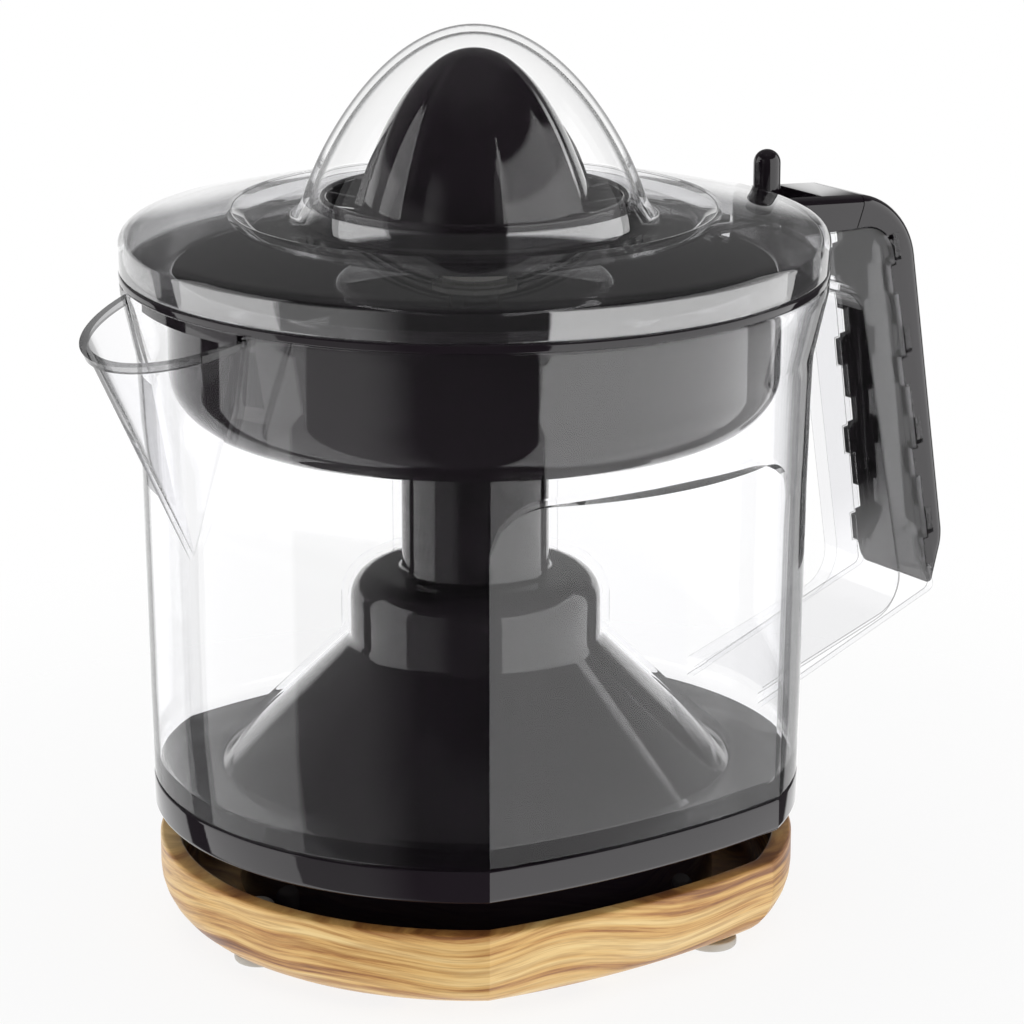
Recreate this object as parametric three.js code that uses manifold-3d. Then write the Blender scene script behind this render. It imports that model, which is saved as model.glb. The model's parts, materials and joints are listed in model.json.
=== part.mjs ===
// Electric citrus press: a black motor base on a wooden foot ring, a clear one-litre jug with a spout and
// handle, a black juice bowl with a pulp selector, a reamer that turns when it is pressed, and a clear lid.
// Millimetres, +Z up. The press is built about its own upright axis, handle towards +X and spout towards
// -X, then shifted so that the origin is the middle of the footprint, on the surface that it stands on.

import * as THREE from 'three';
import { mergeVertices } from 'three/addons/utils/BufferGeometryUtils.js';
import Module from 'manifold-3d';

// ---------- driving dimensions ----------

// Fits
const gap = 0.3; // between pieces that touch
const mouldedWall = 2.2; // wall of the black mouldings
const pressTravel = 2; // how far the reamer goes down to start the motor

// Plan shape that the wooden foot ring, the base and the jug share: a circle with two gentle side panels
const bodyRadius = 77.5;
const panelWidth = 82.6; // corner to corner
const panelRise = 4.1; // how far a panel bulges past the straight line between its corners

// Wooden foot ring
const footHeight = 2.5;
const woodHeight = 19.5;
const woodWall = 5;
const woodFloor = 5;
const woodInset = 1.1; // the wood stands back from the body's outline
const woodRound = 12; // rounding of its lower edge
const woodInnerRound = 4;

// Rubber feet
const footRadius = 6;
const footInset = 15.5; // from the body's outline in to the middle of a foot
const footStem = 3;
const footKnobRadius = 3.7;
const footKnobHeight = 7; // the knob that holds a foot from above the wooden floor

// Motor base
const skirtLift = 8; // open gap between the wood and the base, where the lead is wound
const skirtHeight = 8;
const skirtEdge = 1.5; // rounding of its lower edge
const panInset = 20; // the pan's wall stands in from the body's outline
const panFloor = 2.5;
const panWall = 2.2;
const deckWidth = 16.5; // of the deck round the foot of the housing's cone
const towerRadius = 29.9;
const towerFoot = 31; // height of the cone above the deck
const towerHeight = 48; // height of the tower's shoulder above the deck
const towerRound = 7;
const neckRadius = 17.5;
const neckDrop = 18; // from the jug's rim down to the neck's top
const glandBore = 3.3; // radius of the lead's way out of the pan
const glandHeight = 10; // height of the lead above the pan's floor
const postInset = 14.5; // from the pan's wall in to the posts that carry the gear plate
const postRadius = 4.5;
const screwRadius = 1.6;
const screwHead = 3.4;
const screwHeadHeight = 2;
const baseScrewCircle = 34; // screws that hold the wooden ring to the pan
const housingScrewInset = 7.5; // from the pan's wall in to the screws that hold it to the housing
const bossRadius = 4;

// Motor
const motorRadius = 25;
const motorHeight = 25;
const motorWall = 1.5;
const motorShaft = 1.6;
const armatureRadius = 18.5;
const armatureHeight = 15;

// Gear train: motor pinion to the double gear, then its small gear to the output gear on the motor's axis
const gearModule = 1.2;
const pressureAngle = THREE.MathUtils.degToRad(20);
const backlash = 0.16; // taken off each tooth
const pinionTeeth = 10;
const wheelTeeth = 30;
const smallTeeth = 12;
const outputTeeth = 28;
const firstShift = 0.42; // profile shift of the motor pinion, so that its roots aren't undercut
const secondShift = 0.3; // profile shift of the small gear
const firstFace = 5; // widths of the two pairs of teeth
const secondFace = 6.5;
const gearPlateThickness = 2;
const gearPlateRadius = 46;
const plateCutRadius = 29; // the three round cuts that leave the plate its arms
const plateCutCircle = 55;
const plateHole = 5.5; // round the motor's pinion
const idlerPinRadius = 2;
const bridgeThickness = 2;
const bridgeRadius = 30;
const pillarRadius = 2.6;
const pillarCircle = 27;

// Drive shaft, its return spring and the start switch
const shaftRadius = 4;
const shaftHexRadius = 3.9; // across corners
const collarRadius = 6.5;
const collarHeight = 2;
const guideHeight = 2.2; // boss of the bridge that guides the shaft
const springRadius = 7.4; // middle of the wire
const springWire = 0.75;
const springHeight = 13;
const springTurns = 4;
const cupRadius = 10.5;
const cupHeight = 4;
const cupArm = 24; // how far the cup's arm reaches, over the switch
const cupArmWidth = 6;
const cupArmHeight = 2.4;
const switchLength = 10;
const switchWidth = 7;
const switchHeight = 12;
const plungerRadius = 1.3;
const neckBushRadius = 7;
const neckBushLength = 12;
const bushFlange = 1.5; // thickness of a bush's flange
const stubHeight = 9.5; // hexagon of the shaft above the neck bush

// Jug
const jugWall = 2.2;
const jugFloor = 2.7;
const jugHeight = 119.7;
const flareHeight = 18; // of the flare below the rim
const wallLean = 1.9; // how far the wall leans out up to the flare
const rimFlare = 3.4; // how far the flare adds to it
const flareRound = 20;
const rimRound = 6;
const rimHeight = 2.4;
const hubWall = 1.6; // wall over the housing's cone, tower and neck
const hubGap = 0.5;
const chimneyHeight = 5.5; // height of the chimney above the neck
const panelDrop = 35.7; // from the rim down to a side panel's top
const panelLean = 2.4; // how far a panel leans out up to its top
const panelCornerRound = 12;
const spoutRadius = 26.4; // at the height of the rim
const spoutDepth = 59;
const spoutFall = 0.31; // slope of its lip, down from the rim
const spoutLip = 1;
const spoutLipHeight = 1.8;

// Handle, in the upright plane through the axis: depths outwards, and heights above the jug's foot
const handleRoot = 5; // how far the handle's walls run into the jug's wall
const gapTopDrop = 15.4; // from the jug's rim down to the top of the finger gap
const gapTopDepth = 29; // depth of the finger gap at its top and bottom, from the body's outline
const gapBottomDepth = 43.7;
const gapBottom = 21.7;
const gapRound = 9;
const armTop = 5.7; // where the lower arm meets the jug
const armBottom = 0.6;
const channelTopDepth = 9.9; // of the clear channel, from the finger gap to the seam with the grip
const channelBottomDepth = 10.5;
const seamBottom = 23;
const handleTopDrop = 0.7; // from the jug's rim down to the channel's upper edge
const gripTopDepth = 7.2; // of the grip, from the seam to its outer side
const gripTopRise = 6.1; // above the jug's rim
const gripTopRound = 19;
const gripBottomDepth = 4.2;
const gripBend = 36; // height at which the grip is furthest out
const gripBottomRound = 12;
const handleWallThickness = 2.2;
const handleTopWidth = 24;
const handleBottomWidth = 31;
const handleEdge = 3; // rounding of the black parts' outer edges
const tabCount = 4; // clips along each side of the grip, each with a window above it
const tabLength = 7;
const tabDepth = 3;
const windowDepth = 1.8;
const capHeight = 9;
const capClearance = 1.3; // from the lid to the cap's inner end
const capLength = 21.3; // along the seam with the grip
const capEndSlope = 5;
const capNotchLength = 12.7;
const capNotchWidth = 18;

// Juice bowl
const bowlInset = 5.5; // the bowl's wall stands in from the body's outline
const bowlWall = 2;
const bowlDepth = 34.3; // from the rim's underside to the bowl's underside
const bowlRound = 12;
const bowlRimOverhang = 0.2; // past the jug's rim
const bowlRimHeight = 2;
const hubFootRadius = 36.5;
const hubTopRadius = 33;
const hubTopHeight = 33.4; // of the bowl's hub above the bowl's underside
const spoutGuardAngle = 15; // half of the guard across the spout, degrees
const spoutGuardDepth = 3.5;
const slotCount = 12;
const slotWidth = 4;
const slotFromHub = 4.5; // from the foot of the hub to the slots
const slotFromEdge = 3; // from the slots to the sieve's outer edge

// Pulp selector
const sieveInset = 16; // the sieve's outer edge stands in from the bowl's wall
const sieveClearance = 1.3; // round the foot of the hub
const sieveThickness = 1.8;
const selectorAngle = 3.5; // each way, degrees
const leverArmWidth = 6;
const leverArmThickness = 1.6;
const leverClearance = 0.45; // from the lid to the lever
const leverRadius = 3.35;
const leverHeight = 17;

// Spindle in the bowl's hub
const spindleRadius = 5;
const spindleBushRadius = 8;
const spindleBushLength = 7;
const socketRadius = 7.5;
const spindleHexRadius = 5.8; // across corners
const spindleHexHeight = 24.7;

// Reamer
const reamerRadius = 30.5;
const reamerHeight = 43;
const reamerLift = 3.5; // of its underside above the hub's bush
const reamerFlute = 0.13; // depth of the hollows between its ridges, as a share of the radius
const reamerWall = 2.4;
const reamerSkirtRadius = 36.3;
const reamerSkirtHeight = 12;
const ribTurn = THREE.MathUtils.degToRad(24); // angle of a ridge that reaches the tip
const finCount = 12;
const finTurn = THREE.MathUtils.degToRad(-10.5); // angle of the first fin
const finThickness = 1.6;
const coneFoot = 3; // height of the cone's foot above the skirt's lower edge
const skirtWall = 2; // of the reamer
const skirtWebBottom = 4; // heights of the web between the skirt and the cone
const skirtWebTop = 6;
const webOverlap = 3; // how far the web and the fins run into the cone

// Lid
const lidWall = 2;
const lidSkirt = 7.4;
const lidRound = 3;
const lidShoulderInset = 4.3; // from the skirt in to the shoulder
const lidShoulderRise = 1.7; // from the top of the skirt
const moatOuter = 56.9;
const moatSlope = 4; // how far the moat's outer wall slopes in
const moatGap = 6; // width of the moat's floor, out from the dome
const moatRim = 13.5; // heights above the lid's lower edge
const moatFloor = 10.6;
const domeRadius = 39.9;
const domeFoot = 15;
const domeHeight = 40.4;
const domePower = 1.2; // shape of the dome: 2 is an ellipse, less is more pointed

// ---------- levels and places worked out from them ----------

const panelHalf = panelWidth / 2;
const panelRadius = (panelHalf ** 2 + panelRise ** 2) / (2 * panelRise);
const panelCentre = panelRadius - panelRise - Math.sqrt(bodyRadius ** 2 - panelHalf ** 2);

const footCircle = bodyRadius - footInset;
const panRadius = bodyRadius - panInset;
const coneRadius = bodyRadius - deckWidth;
const postCircle = panRadius - postInset;
const housingScrewCircle = panRadius - housingScrewInset;
const shoulderRadius = bodyRadius + wallLean;
const rimRadius = shoulderRadius + rimFlare;
const bowlRadius = bodyRadius - bowlInset;
const bowlRimRadius = rimRadius + bowlRimOverhang;
const lidRadius = bowlRimRadius;
const lidShoulderRadius = lidRadius - lidShoulderInset;
const sieveOuter = bowlRadius - sieveInset;
const slotStart = hubFootRadius + slotFromHub;
const slotEnd = sieveOuter - slotFromEdge;
const leverReach = lidRadius + leverClearance + leverRadius;

const handleStart = bodyRadius - handleRoot;
const gapTopReach = bodyRadius + gapTopDepth;
const gapBottomReach = bodyRadius + gapBottomDepth;
const seamTopReach = gapTopReach + channelTopDepth;
const seamBottomReach = gapBottomReach + channelBottomDepth;
const gripTopReach = seamTopReach + gripTopDepth;
const gripBottomReach = seamBottomReach + gripBottomDepth;
const capStart = lidRadius + capClearance;
const capEnd = capStart + capLength;
const capNotchReach = capStart + capNotchLength;

const woodTop = footHeight + woodHeight;
const woodFloorTop = footHeight + woodFloor;
const panBottom = woodFloorTop + gap;
const panFloorTop = panBottom + panFloor;
const skirtBottom = woodTop + skirtLift;
const deckTop = skirtBottom + skirtHeight;
const deckBottom = deckTop - mouldedWall;
const towerFootTop = deckTop + towerFoot;
const shoulderTop = deckTop + towerHeight;
const jugBottom = deckTop + gap;
const jugFloorTop = jugBottom + jugFloor;
const jugTop = jugBottom + jugHeight;
const panelTop = jugTop - panelDrop;
const neckTop = jugTop - neckDrop;
const chimneyTop = neckTop + chimneyHeight;

const motorBottom = panFloorTop + 3;
const motorTop = motorBottom + motorHeight;
const gearPlateBottom = motorTop + gap;
const gearPlateTop = gearPlateBottom + gearPlateThickness;
const firstGearBottom = gearPlateTop + 1.2;
const firstGearTop = firstGearBottom + firstFace;
const outputGearBottom = firstGearTop + pressTravel + 2 * gap + 0.6;
const outputGearTop = outputGearBottom + secondFace;
const idlerTop = outputGearTop + 0.8;
const bridgeBottom = idlerTop + 3.2;
const bridgeTop = bridgeBottom + bridgeThickness;
const guideTop = bridgeTop + guideHeight;
const springBottom = guideTop + gap;
const cupBottom = springBottom + springHeight + gap;
const cupTop = cupBottom + cupHeight;
const collarBottom = cupTop + gap;
const neckBushTop = neckTop + gap + bushFlange;
const stubTop = neckBushTop + stubHeight;
const firstCentres = (gearModule * (pinionTeeth + wheelTeeth)) / 2;

const bowlRimBottom = jugTop + gap;
const bowlRimTop = bowlRimBottom + bowlRimHeight;
const bowlBottom = bowlRimBottom - bowlDepth;
const bowlFloorTop = bowlBottom + bowlWall;
const hubTop = bowlBottom + hubTopHeight;
const spindleBushTop = hubTop + pressTravel + gap + bushFlange;
const spindleBushBottom = spindleBushTop - bushFlange - spindleBushLength;
const spindleHexBottom = spindleBushTop + gap;
const spindleTop = spindleHexBottom + spindleHexHeight;
const reamerBottom = spindleBushTop + reamerLift;
const reamerSocketTop = spindleTop + gap;
const lidBottom = bowlRimTop + gap;

const fine = 24; // sides of the large round pieces
const coarse = 10; // and of the small ones
const screwSides = 8;
const facetTurn = THREE.MathUtils.degToRad(40); // turn of one facet of a rounding
const handleTurn = THREE.MathUtils.degToRad(20); // and along the handle
const flatness = 0.03; // facets closer than this to one plane are merged
const beyond = 20; // how far a cutting shape runs past what it cuts

// ---------- solids ----------

const wasm = await Module();
wasm.setup();

function toSolid(geometry) {
  const bare = new THREE.BufferGeometry();
  bare.setAttribute('position', geometry.getAttribute('position'));
  bare.setIndex(geometry.getIndex());
  const merged = mergeVertices(bare, 1e-4);
  const vertProperties = merged.getAttribute('position').array;
  const index = merged.getIndex().array;
  const corner = (i) => new THREE.Vector3().fromArray(vertProperties, 3 * i);
  const faces = [];
  let volume = 0;
  for (let i = 0; i < index.length; i += 3) {
    const [a, b, c] = index.subarray(i, i + 3);
    if (a === b || b === c || c === a) continue;
    faces.push(a, b, c);
    volume += corner(a).dot(corner(b).cross(corner(c)));
  }
  if (volume < 0) faces.reverse();
  return new wasm.Manifold(new wasm.Mesh({ numProp: 3, vertProperties, triVerts: new Uint32Array(faces) }));
}

function toGeometry(solid) {
  const { vertProperties, triVerts } = solid.asOriginal().simplify(flatness).getMesh();
  const geometry = new THREE.BufferGeometry();
  geometry.setAttribute('position', new THREE.BufferAttribute(vertProperties, 3));
  geometry.setIndex(new THREE.BufferAttribute(triVerts, 1));
  return geometry;
}

function combine(operation, first, others) {
  const solids = others.flat().map(toSolid);
  return toGeometry(solids.reduce((whole, solid) => whole[operation](solid), toSolid(first)));
}

const join = (first, ...others) => combine('add', first, others);
const cut = (first, ...others) => combine('subtract', first, others);
const common = (first, ...others) => combine('intersect', first, others);

// ---------- outlines: corners are [x, y] or [x, y, radius of the rounding] ----------

// The corners as points, with each rounded corner as an arc, held within half of its shorter side.
function rounded(corners, turn = facetTurn) {
  return corners.flatMap(([x, y, radius], i) => {
    const corner = new THREE.Vector2(x, y);
    if (!radius) return [corner];
    const toPrevious = new THREE.Vector2(...corners.at(i - 1)).sub(corner);
    const toNext = new THREE.Vector2(...corners[(i + 1) % corners.length]).sub(corner);
    const room = 0.49 * Math.min(toPrevious.length(), toNext.length());
    const half = toPrevious.angleTo(toNext) / 2;
    const reach = Math.min(radius / Math.tan(half), room);
    const round = reach * Math.tan(half);
    const inwards = toPrevious.normalize().clone().add(toNext.normalize()).normalize();
    const centre = corner.clone().addScaledVector(inwards, round / Math.sin(half));
    const start = corner.clone().addScaledVector(toPrevious, reach).sub(centre);
    const sweep = Math.sign(toNext.cross(toPrevious)) * (Math.PI - 2 * half);
    const steps = Math.max(1, Math.round(Math.abs(sweep) / turn));
    return Array.from({ length: steps + 1 }, (_, k) =>
      start.clone().rotateAround(new THREE.Vector2(), (sweep * k) / steps).add(centre));
  });
}

// A path moved sideways to its left, with mitred corners and its roundings kept parallel.
function beside(path, distance) {
  const normal = ([ax, ay], [bx, by]) => new THREE.Vector2(ay - by, bx - ax).normalize();
  return path.map(([x, y, radius], i) => {
    const before = i > 0 ? normal(path[i - 1], path[i]) : normal(path[i], path[i + 1]);
    const after = i < path.length - 1 ? normal(path[i], path[i + 1]) : before;
    const turn = Math.sign(before.cross(after));
    const middle = before.clone().add(after).divideScalar(2);
    middle.multiplyScalar(distance / middle.lengthSq());
    return [x + middle.x, y + middle.y, radius && Math.max(radius - turn * distance, gap)];
  });
}

// The closed outline of a wall that lies on the left of a path.
const walled = (path, thickness) => [...path, ...beside(path, thickness).reverse()];

// ---------- shapes ----------

// A body of revolution about the upright axis; corners are [radius, height].
function turned(corners, sides = fine) {
  const profile = rounded(corners);
  return new THREE.LatheGeometry([...profile, profile[0]], sides).rotateX(Math.PI / 2);
}

const rod = (radius, bottom, top, sides = coarse) =>
  turned([[0, bottom], [radius, bottom], [radius, top], [0, top]], sides);

const tube = (inner, outer, bottom, top, sides = coarse) =>
  turned([[inner, bottom], [outer, bottom], [outer, top], [inner, top]], sides);

// A flat outline raised from one height to another.
function raised(shape, bottom, top, curveSegments = 6) {
  const depth = top - bottom;
  return new THREE.ExtrudeGeometry(shape, { depth, bevelEnabled: false, curveSegments })
    .translate(0, 0, bottom);
}

// An outline in the upright plane of the handle and spout, extended to both sides of it.
function across(corners, width) {
  const shape = new THREE.Shape(rounded(corners, handleTurn));
  return raised(shape, -width / 2, width / 2).rotateX(Math.PI / 2);
}

const block = (x, y, bottom, top) =>
  new THREE.BoxGeometry(x[1] - x[0], y[1] - y[0], top - bottom)
    .translate((x[0] + x[1]) / 2, (y[0] + y[1]) / 2, (bottom + top) / 2);

// Copies at even angles about the axis.
const around = (geometry, count, start = 0) =>
  Array.from({ length: count }, (_, i) => geometry.clone().rotateZ(start + (2 * Math.PI * i) / count));

// A prism with six sides.
const hexagon = (radius, bottom, top) => rod(radius, bottom, top, 6);

// A piece of a ring between two angles.
function sector(inner, outer, halfAngle, bottom, top) {
  const shape = new THREE.Shape();
  shape.absarc(0, 0, outer, -halfAngle, halfAngle);
  shape.absarc(0, 0, inner, halfAngle, -halfAngle, true);
  return raised(shape, bottom, top, 6);
}

// The plan outline shared by the wood, the base and the jug, moved inwards by an inset.
function planShape(inset) {
  const round = bodyRadius - inset;
  const panel = panelRadius - inset;
  const cornerY = (panel ** 2 - round ** 2 - panelCentre ** 2) / (2 * panelCentre);
  const cornerAngle = Math.asin(cornerY / round);
  const panelAngle = Math.asin((round * Math.cos(cornerAngle)) / panel);
  const shape = new THREE.Shape();
  shape.absarc(0, 0, round, -cornerAngle, cornerAngle);
  shape.absarc(0, -panelCentre, panel, Math.PI / 2 - panelAngle, Math.PI / 2 + panelAngle);
  shape.absarc(0, 0, round, Math.PI - cornerAngle, Math.PI + cornerAngle);
  shape.absarc(0, panelCentre, panel, 1.5 * Math.PI - panelAngle, 1.5 * Math.PI + panelAngle);
  return shape;
}

// The plan outline raised, with its lower edge rounded.
function roundedPlan(inset, round, bottom, top) {
  const depth = top - bottom;
  const options = { depth, bevelSize: round, bevelThickness: round, bevelSegments: 2, curveSegments: 6 };
  const body = new THREE.ExtrudeGeometry(planShape(inset + round), options).translate(0, 0, bottom + round);
  return common(body, raised(planShape(inset - 3), bottom, top, 2));
}

// ---------- wooden foot ring and feet ----------

const footAngles = [Math.PI / 3, Math.PI, (5 * Math.PI) / 3];
const baseScrewAngles = [0, (2 * Math.PI) / 3, (4 * Math.PI) / 3];
const placed = (geometry, distance, angle) => geometry.clone().translate(distance, 0, 0).rotateZ(angle);

function woodBase() {
  const outside = roundedPlan(woodInset, woodRound, footHeight, woodTop);
  const inside = roundedPlan(woodInset + woodWall, woodInnerRound, woodFloorTop, woodTop + 2);
  const footHole = rod(footStem + gap, 0, woodTop);
  const screwHole = join(rod(screwRadius + gap, 0, woodTop, screwSides),
    rod(screwHead + gap, 0, footHeight + screwHeadHeight + gap, screwSides));
  return cut(outside, inside, footAngles.map((a) => placed(footHole, footCircle, a)),
    baseScrewAngles.map((a) => placed(screwHole, baseScrewCircle, a)));
}

// A rubber foot: a disc below the wood, a stem through it and a knob above.
function foot(angle) {
  const knobBottom = woodFloorTop + gap;
  const discTop = footHeight - gap;
  const knobTop = knobBottom + footKnobHeight;
  return placed(turned([[0, 0], [footRadius, 0, 1], [footRadius, discTop], [footStem, discTop],
    [footStem, knobBottom], [footKnobRadius, knobBottom], [footKnobRadius, knobTop, 1.5], [0, knobTop]],
  coarse), footCircle, angle);
}

const screw = (headBottom, tip, head = screwHead) =>
  turned([[0, headBottom], [head, headBottom], [head, headBottom + screwHeadHeight],
    [screwRadius, headBottom + screwHeadHeight], [screwRadius, tip - 1], [0, tip]], screwSides);

// ---------- motor base ----------

const baseScrewTip = panFloorTop + 8;
const housingScrewTip = panFloorTop + 14;
const housingScrewAngles = [1, 3, 5, 7].map((eighth) => (eighth * Math.PI) / 4);
const postAngles = [Math.PI / 2, (7 * Math.PI) / 6, (11 * Math.PI) / 6];
const screwBossTop = panFloorTop + screwHeadHeight;
const leadHeight = panFloorTop + glandHeight;

// The bottom pan: it holds the motor's posts and is screwed to the housing above it.
function basePan() {
  const outside = [[0, panBottom], [panRadius, panBottom, 2], [panRadius, deckBottom - gap]];
  const shell = turned(walled(outside, panWall));
  const posts = postAngles.map((a) =>
    placed(rod(postRadius, panFloorTop - 1, gearPlateBottom - gap, screwSides), postCircle, a));
  const baseBosses = baseScrewAngles.map((a) =>
    placed(rod(bossRadius, panFloorTop - 1, baseScrewTip + 2, screwSides), baseScrewCircle, a));
  const housingBosses = housingScrewAngles.map((a) =>
    placed(rod(screwHead + gap + 1.5, panFloorTop - 1, screwBossTop, screwSides), housingScrewCircle, a));
  const baseHole = rod(screwRadius + gap, 0, baseScrewTip + gap, screwSides);
  const housingHole = join(rod(screwRadius + gap, 0, screwBossTop + 1, screwSides),
    rod(screwHead + gap, 0, panBottom + screwHeadHeight + gap, screwSides));
  const leadHole = rod(glandBore + 1.5 + gap, panRadius - 5, panRadius + 5).rotateY(Math.PI / 2)
    .translate(0, 0, leadHeight);
  return cut(join(shell, posts, baseBosses, housingBosses), leadHole,
    baseScrewAngles.map((a) => placed(baseHole, baseScrewCircle, a)),
    housingScrewAngles.map((a) => placed(housingHole, housingScrewCircle, a)));
}

// A rubber bush in the pan's wall that the lead passes through.
function cordGland() {
  const sleeve = glandBore + 1.5;
  const lip = sleeve + 1.2;
  const inside = panWall + gap + lip * Math.tan(Math.PI / fine);
  return turned([[glandBore, -2.5], [sleeve + 2, -2.5], [sleeve + 2, -gap], [sleeve, -gap], [sleeve, inside],
    [lip, inside], [lip, inside + 1.5], [glandBore, inside + 1.5]], coarse)
    .rotateY(-Math.PI / 2).translate(panRadius, 0, leadHeight);
}

// The housing: skirt and deck under the jug, then the cone, tower and neck that stand up inside it.
function motorHousing() {
  const skirt = cut(roundedPlan(0, skirtEdge, skirtBottom, deckTop),
    raised(planShape(mouldedWall), skirtBottom - 1, deckBottom));
  const outside = [[coneRadius, deckTop], [towerRadius, towerFootTop], [towerRadius, shoulderTop, towerRound],
    [neckRadius, shoulderTop], [neckRadius, neckTop], [0, neckTop]];
  const inside = beside(outside, mouldedWall);
  const tower = turned([[0, deckTop - 1], [coneRadius, deckTop - 1], ...outside]);
  const hollow = turned([[0, deckBottom - 1], [inside[0][0], deckBottom - 1], ...inside]);
  const shell = cut(join(skirt, tower), hollow);
  const spigotInner = panRadius + gap;
  const spigot = tube(spigotInner, spigotInner + mouldedWall, deckBottom - 5, deckBottom + 1, fine);
  const boss = placed(rod(bossRadius, screwBossTop + gap, towerFootTop, screwSides), housingScrewCircle, 0);
  const middle = beside(outside, mouldedWall / 2);
  const room = turned([[0, 0], [middle[0][0], 0], ...middle]);
  const bosses = housingScrewAngles.map((a) => common(boss.clone().rotateZ(a), room));
  const holes = housingScrewAngles.map((a) =>
    placed(rod(screwRadius + gap, 0, housingScrewTip + gap, screwSides), housingScrewCircle, a));
  return cut(join(shell, spigot, bosses), holes, rod(neckBushRadius + gap, shoulderTop, neckTop + 1));
}

const housingScrew = (angle) =>
  placed(screw(panBottom + gap / 2, housingScrewTip), housingScrewCircle, angle);
const baseScrew = (angle) => placed(screw(footHeight + gap, baseScrewTip), baseScrewCircle, angle);

// ---------- motor ----------

// The steel can with its end plate, a bearing hole at each end and vents round its side.
function motorCase() {
  const hole = motorShaft + gap;
  const shell = turned([[hole, motorBottom], [motorRadius, motorBottom, 3], [motorRadius, motorTop],
    [hole, motorTop], [hole, motorTop - motorWall], [motorRadius - motorWall, motorTop - motorWall],
    [motorRadius - motorWall, motorBottom + motorWall], [hole, motorBottom + motorWall]], coarse * 2);
  const vent = block([motorRadius - 5, motorRadius + 5], [-4, 4], motorBottom + 7, motorTop - 6);
  return cut(shell, around(vent, 6));
}

// The windings: an armature with its slots, on the shaft that carries the pinion.
function rotor() {
  const middle = (motorBottom + motorTop) / 2;
  const shaft = rod(motorShaft, motorBottom - 1.5, firstGearTop + 1);
  const stack = rod(armatureRadius, middle - armatureHeight / 2, middle + armatureHeight / 2, 18);
  const slot = block([armatureRadius - 4, armatureRadius + 1], [-1, 1], motorBottom, motorTop);
  const commutator = rod(5, middle + armatureHeight / 2 - 1, middle + armatureHeight / 2 + 3);
  return cut(join(stack, shaft, commutator), around(slot, 9));
}

// ---------- gears ----------

// An involute spur gear, its profile moved outwards by a shift; a tooth points along +X.
function gear(teeth, shift, bottom, top) {
  const pitch = (gearModule * teeth) / 2;
  const base = pitch * Math.cos(pressureAngle);
  const tip = pitch + gearModule * (1 + shift) - (shift < 0 ? 0.05 : 0);
  const root = pitch - gearModule * (1.25 - shift);
  const involute = (radius) => {
    const angle = Math.acos(Math.min(base / radius, 1));
    return Math.tan(angle) - angle;
  };
  const atPitch = (Math.PI / 2 + 2 * shift * Math.tan(pressureAngle)) / teeth - backlash / (2 * pitch);
  const halfTooth = (radius) => atPitch + involute(pitch) - involute(radius);
  const start = Math.max(base, root);
  const flank = [root, (start + tip) / 2, tip].map((radius) => [radius, halfTooth(Math.max(radius, start))]);
  const shape = new THREE.Shape();
  const point = (radius, angle) => new THREE.Vector2(radius, 0).rotateAround(new THREE.Vector2(), angle);
  shape.setFromPoints(Array.from({ length: teeth }, (_, i) => {
    const middle = (2 * Math.PI * i) / teeth;
    return [...flank.map(([radius, half]) => point(radius, middle - half)),
      ...flank.toReversed().map(([radius, half]) => point(radius, middle + half))];
  }).flat());
  return raised(shape, bottom, top);
}

// The pinion has a tooth towards the idler, and both gears of the idler have a gap towards the pinion.
function motorPinion() {
  const teeth = gear(pinionTeeth, firstShift, firstGearBottom, firstGearTop);
  return cut(teeth, rod(motorShaft + gap, 0, stubTop, screwSides));
}

function idlerGear() {
  const gapTowardsAxis = (teeth) => Math.PI + Math.PI / teeth;
  const large = gear(wheelTeeth, -firstShift, firstGearBottom, firstGearTop)
    .rotateZ(gapTowardsAxis(wheelTeeth));
  const small = gear(smallTeeth, secondShift, firstGearTop - 0.5, outputGearTop)
    .rotateZ(gapTowardsAxis(smallTeeth));
  const hub = rod(4, gearPlateTop + gap, idlerTop);
  return cut(join(large, small, hub), rod(idlerPinRadius + gap, 0, stubTop)).translate(firstCentres, 0, 0);
}

const idlerPin = () => rod(idlerPinRadius, gearPlateBottom, bridgeTop).translate(firstCentres, 0, 0);

function outputGear() {
  const teeth = gear(outputTeeth, -secondShift, outputGearBottom, outputGearTop);
  const hub = rod(7.5, outputGearBottom, outputGearTop + 2);
  return cut(join(teeth, hub), rod(shaftRadius + gap, 0, stubTop));
}

// The steel plate on the pan's posts: the motor hangs below it, and the gears run above it.
function gearPlate() {
  const plate = rod(gearPlateRadius, gearPlateBottom, gearPlateTop, fine);
  const roundCut = rod(plateCutRadius, gearPlateBottom - 1, gearPlateTop + 1).translate(plateCutCircle, 0, 0);
  const pillars = pillarAngles.map((a) =>
    placed(rod(pillarRadius, gearPlateBottom + 0.5, bridgeBottom - gap), pillarCircle, a));
  return cut(join(cut(plate, around(roundCut, 3, Math.PI / 2)), pillars), rod(plateHole, 0, stubTop),
    rod(idlerPinRadius + gap, 0, stubTop).translate(firstCentres, 0, 0));
}

const pillarAngles = [(7 * Math.PI) / 12, (17 * Math.PI) / 12];

// The bridge over the gears: it guides the drive shaft and holds the top of the idler's pin.
function bearingBridge() {
  const plate = rod(bridgeRadius, bridgeBottom, bridgeTop, coarse * 2);
  const guide = rod(shaftRadius + 4, bridgeTop - 0.5, guideTop);
  return cut(join(plate, guide), rod(shaftRadius + gap, 0, stubTop),
    rod(idlerPinRadius + gap, 0, stubTop).translate(firstCentres, 0, 0));
}

// ---------- drive shaft, return spring and start switch ----------

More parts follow.
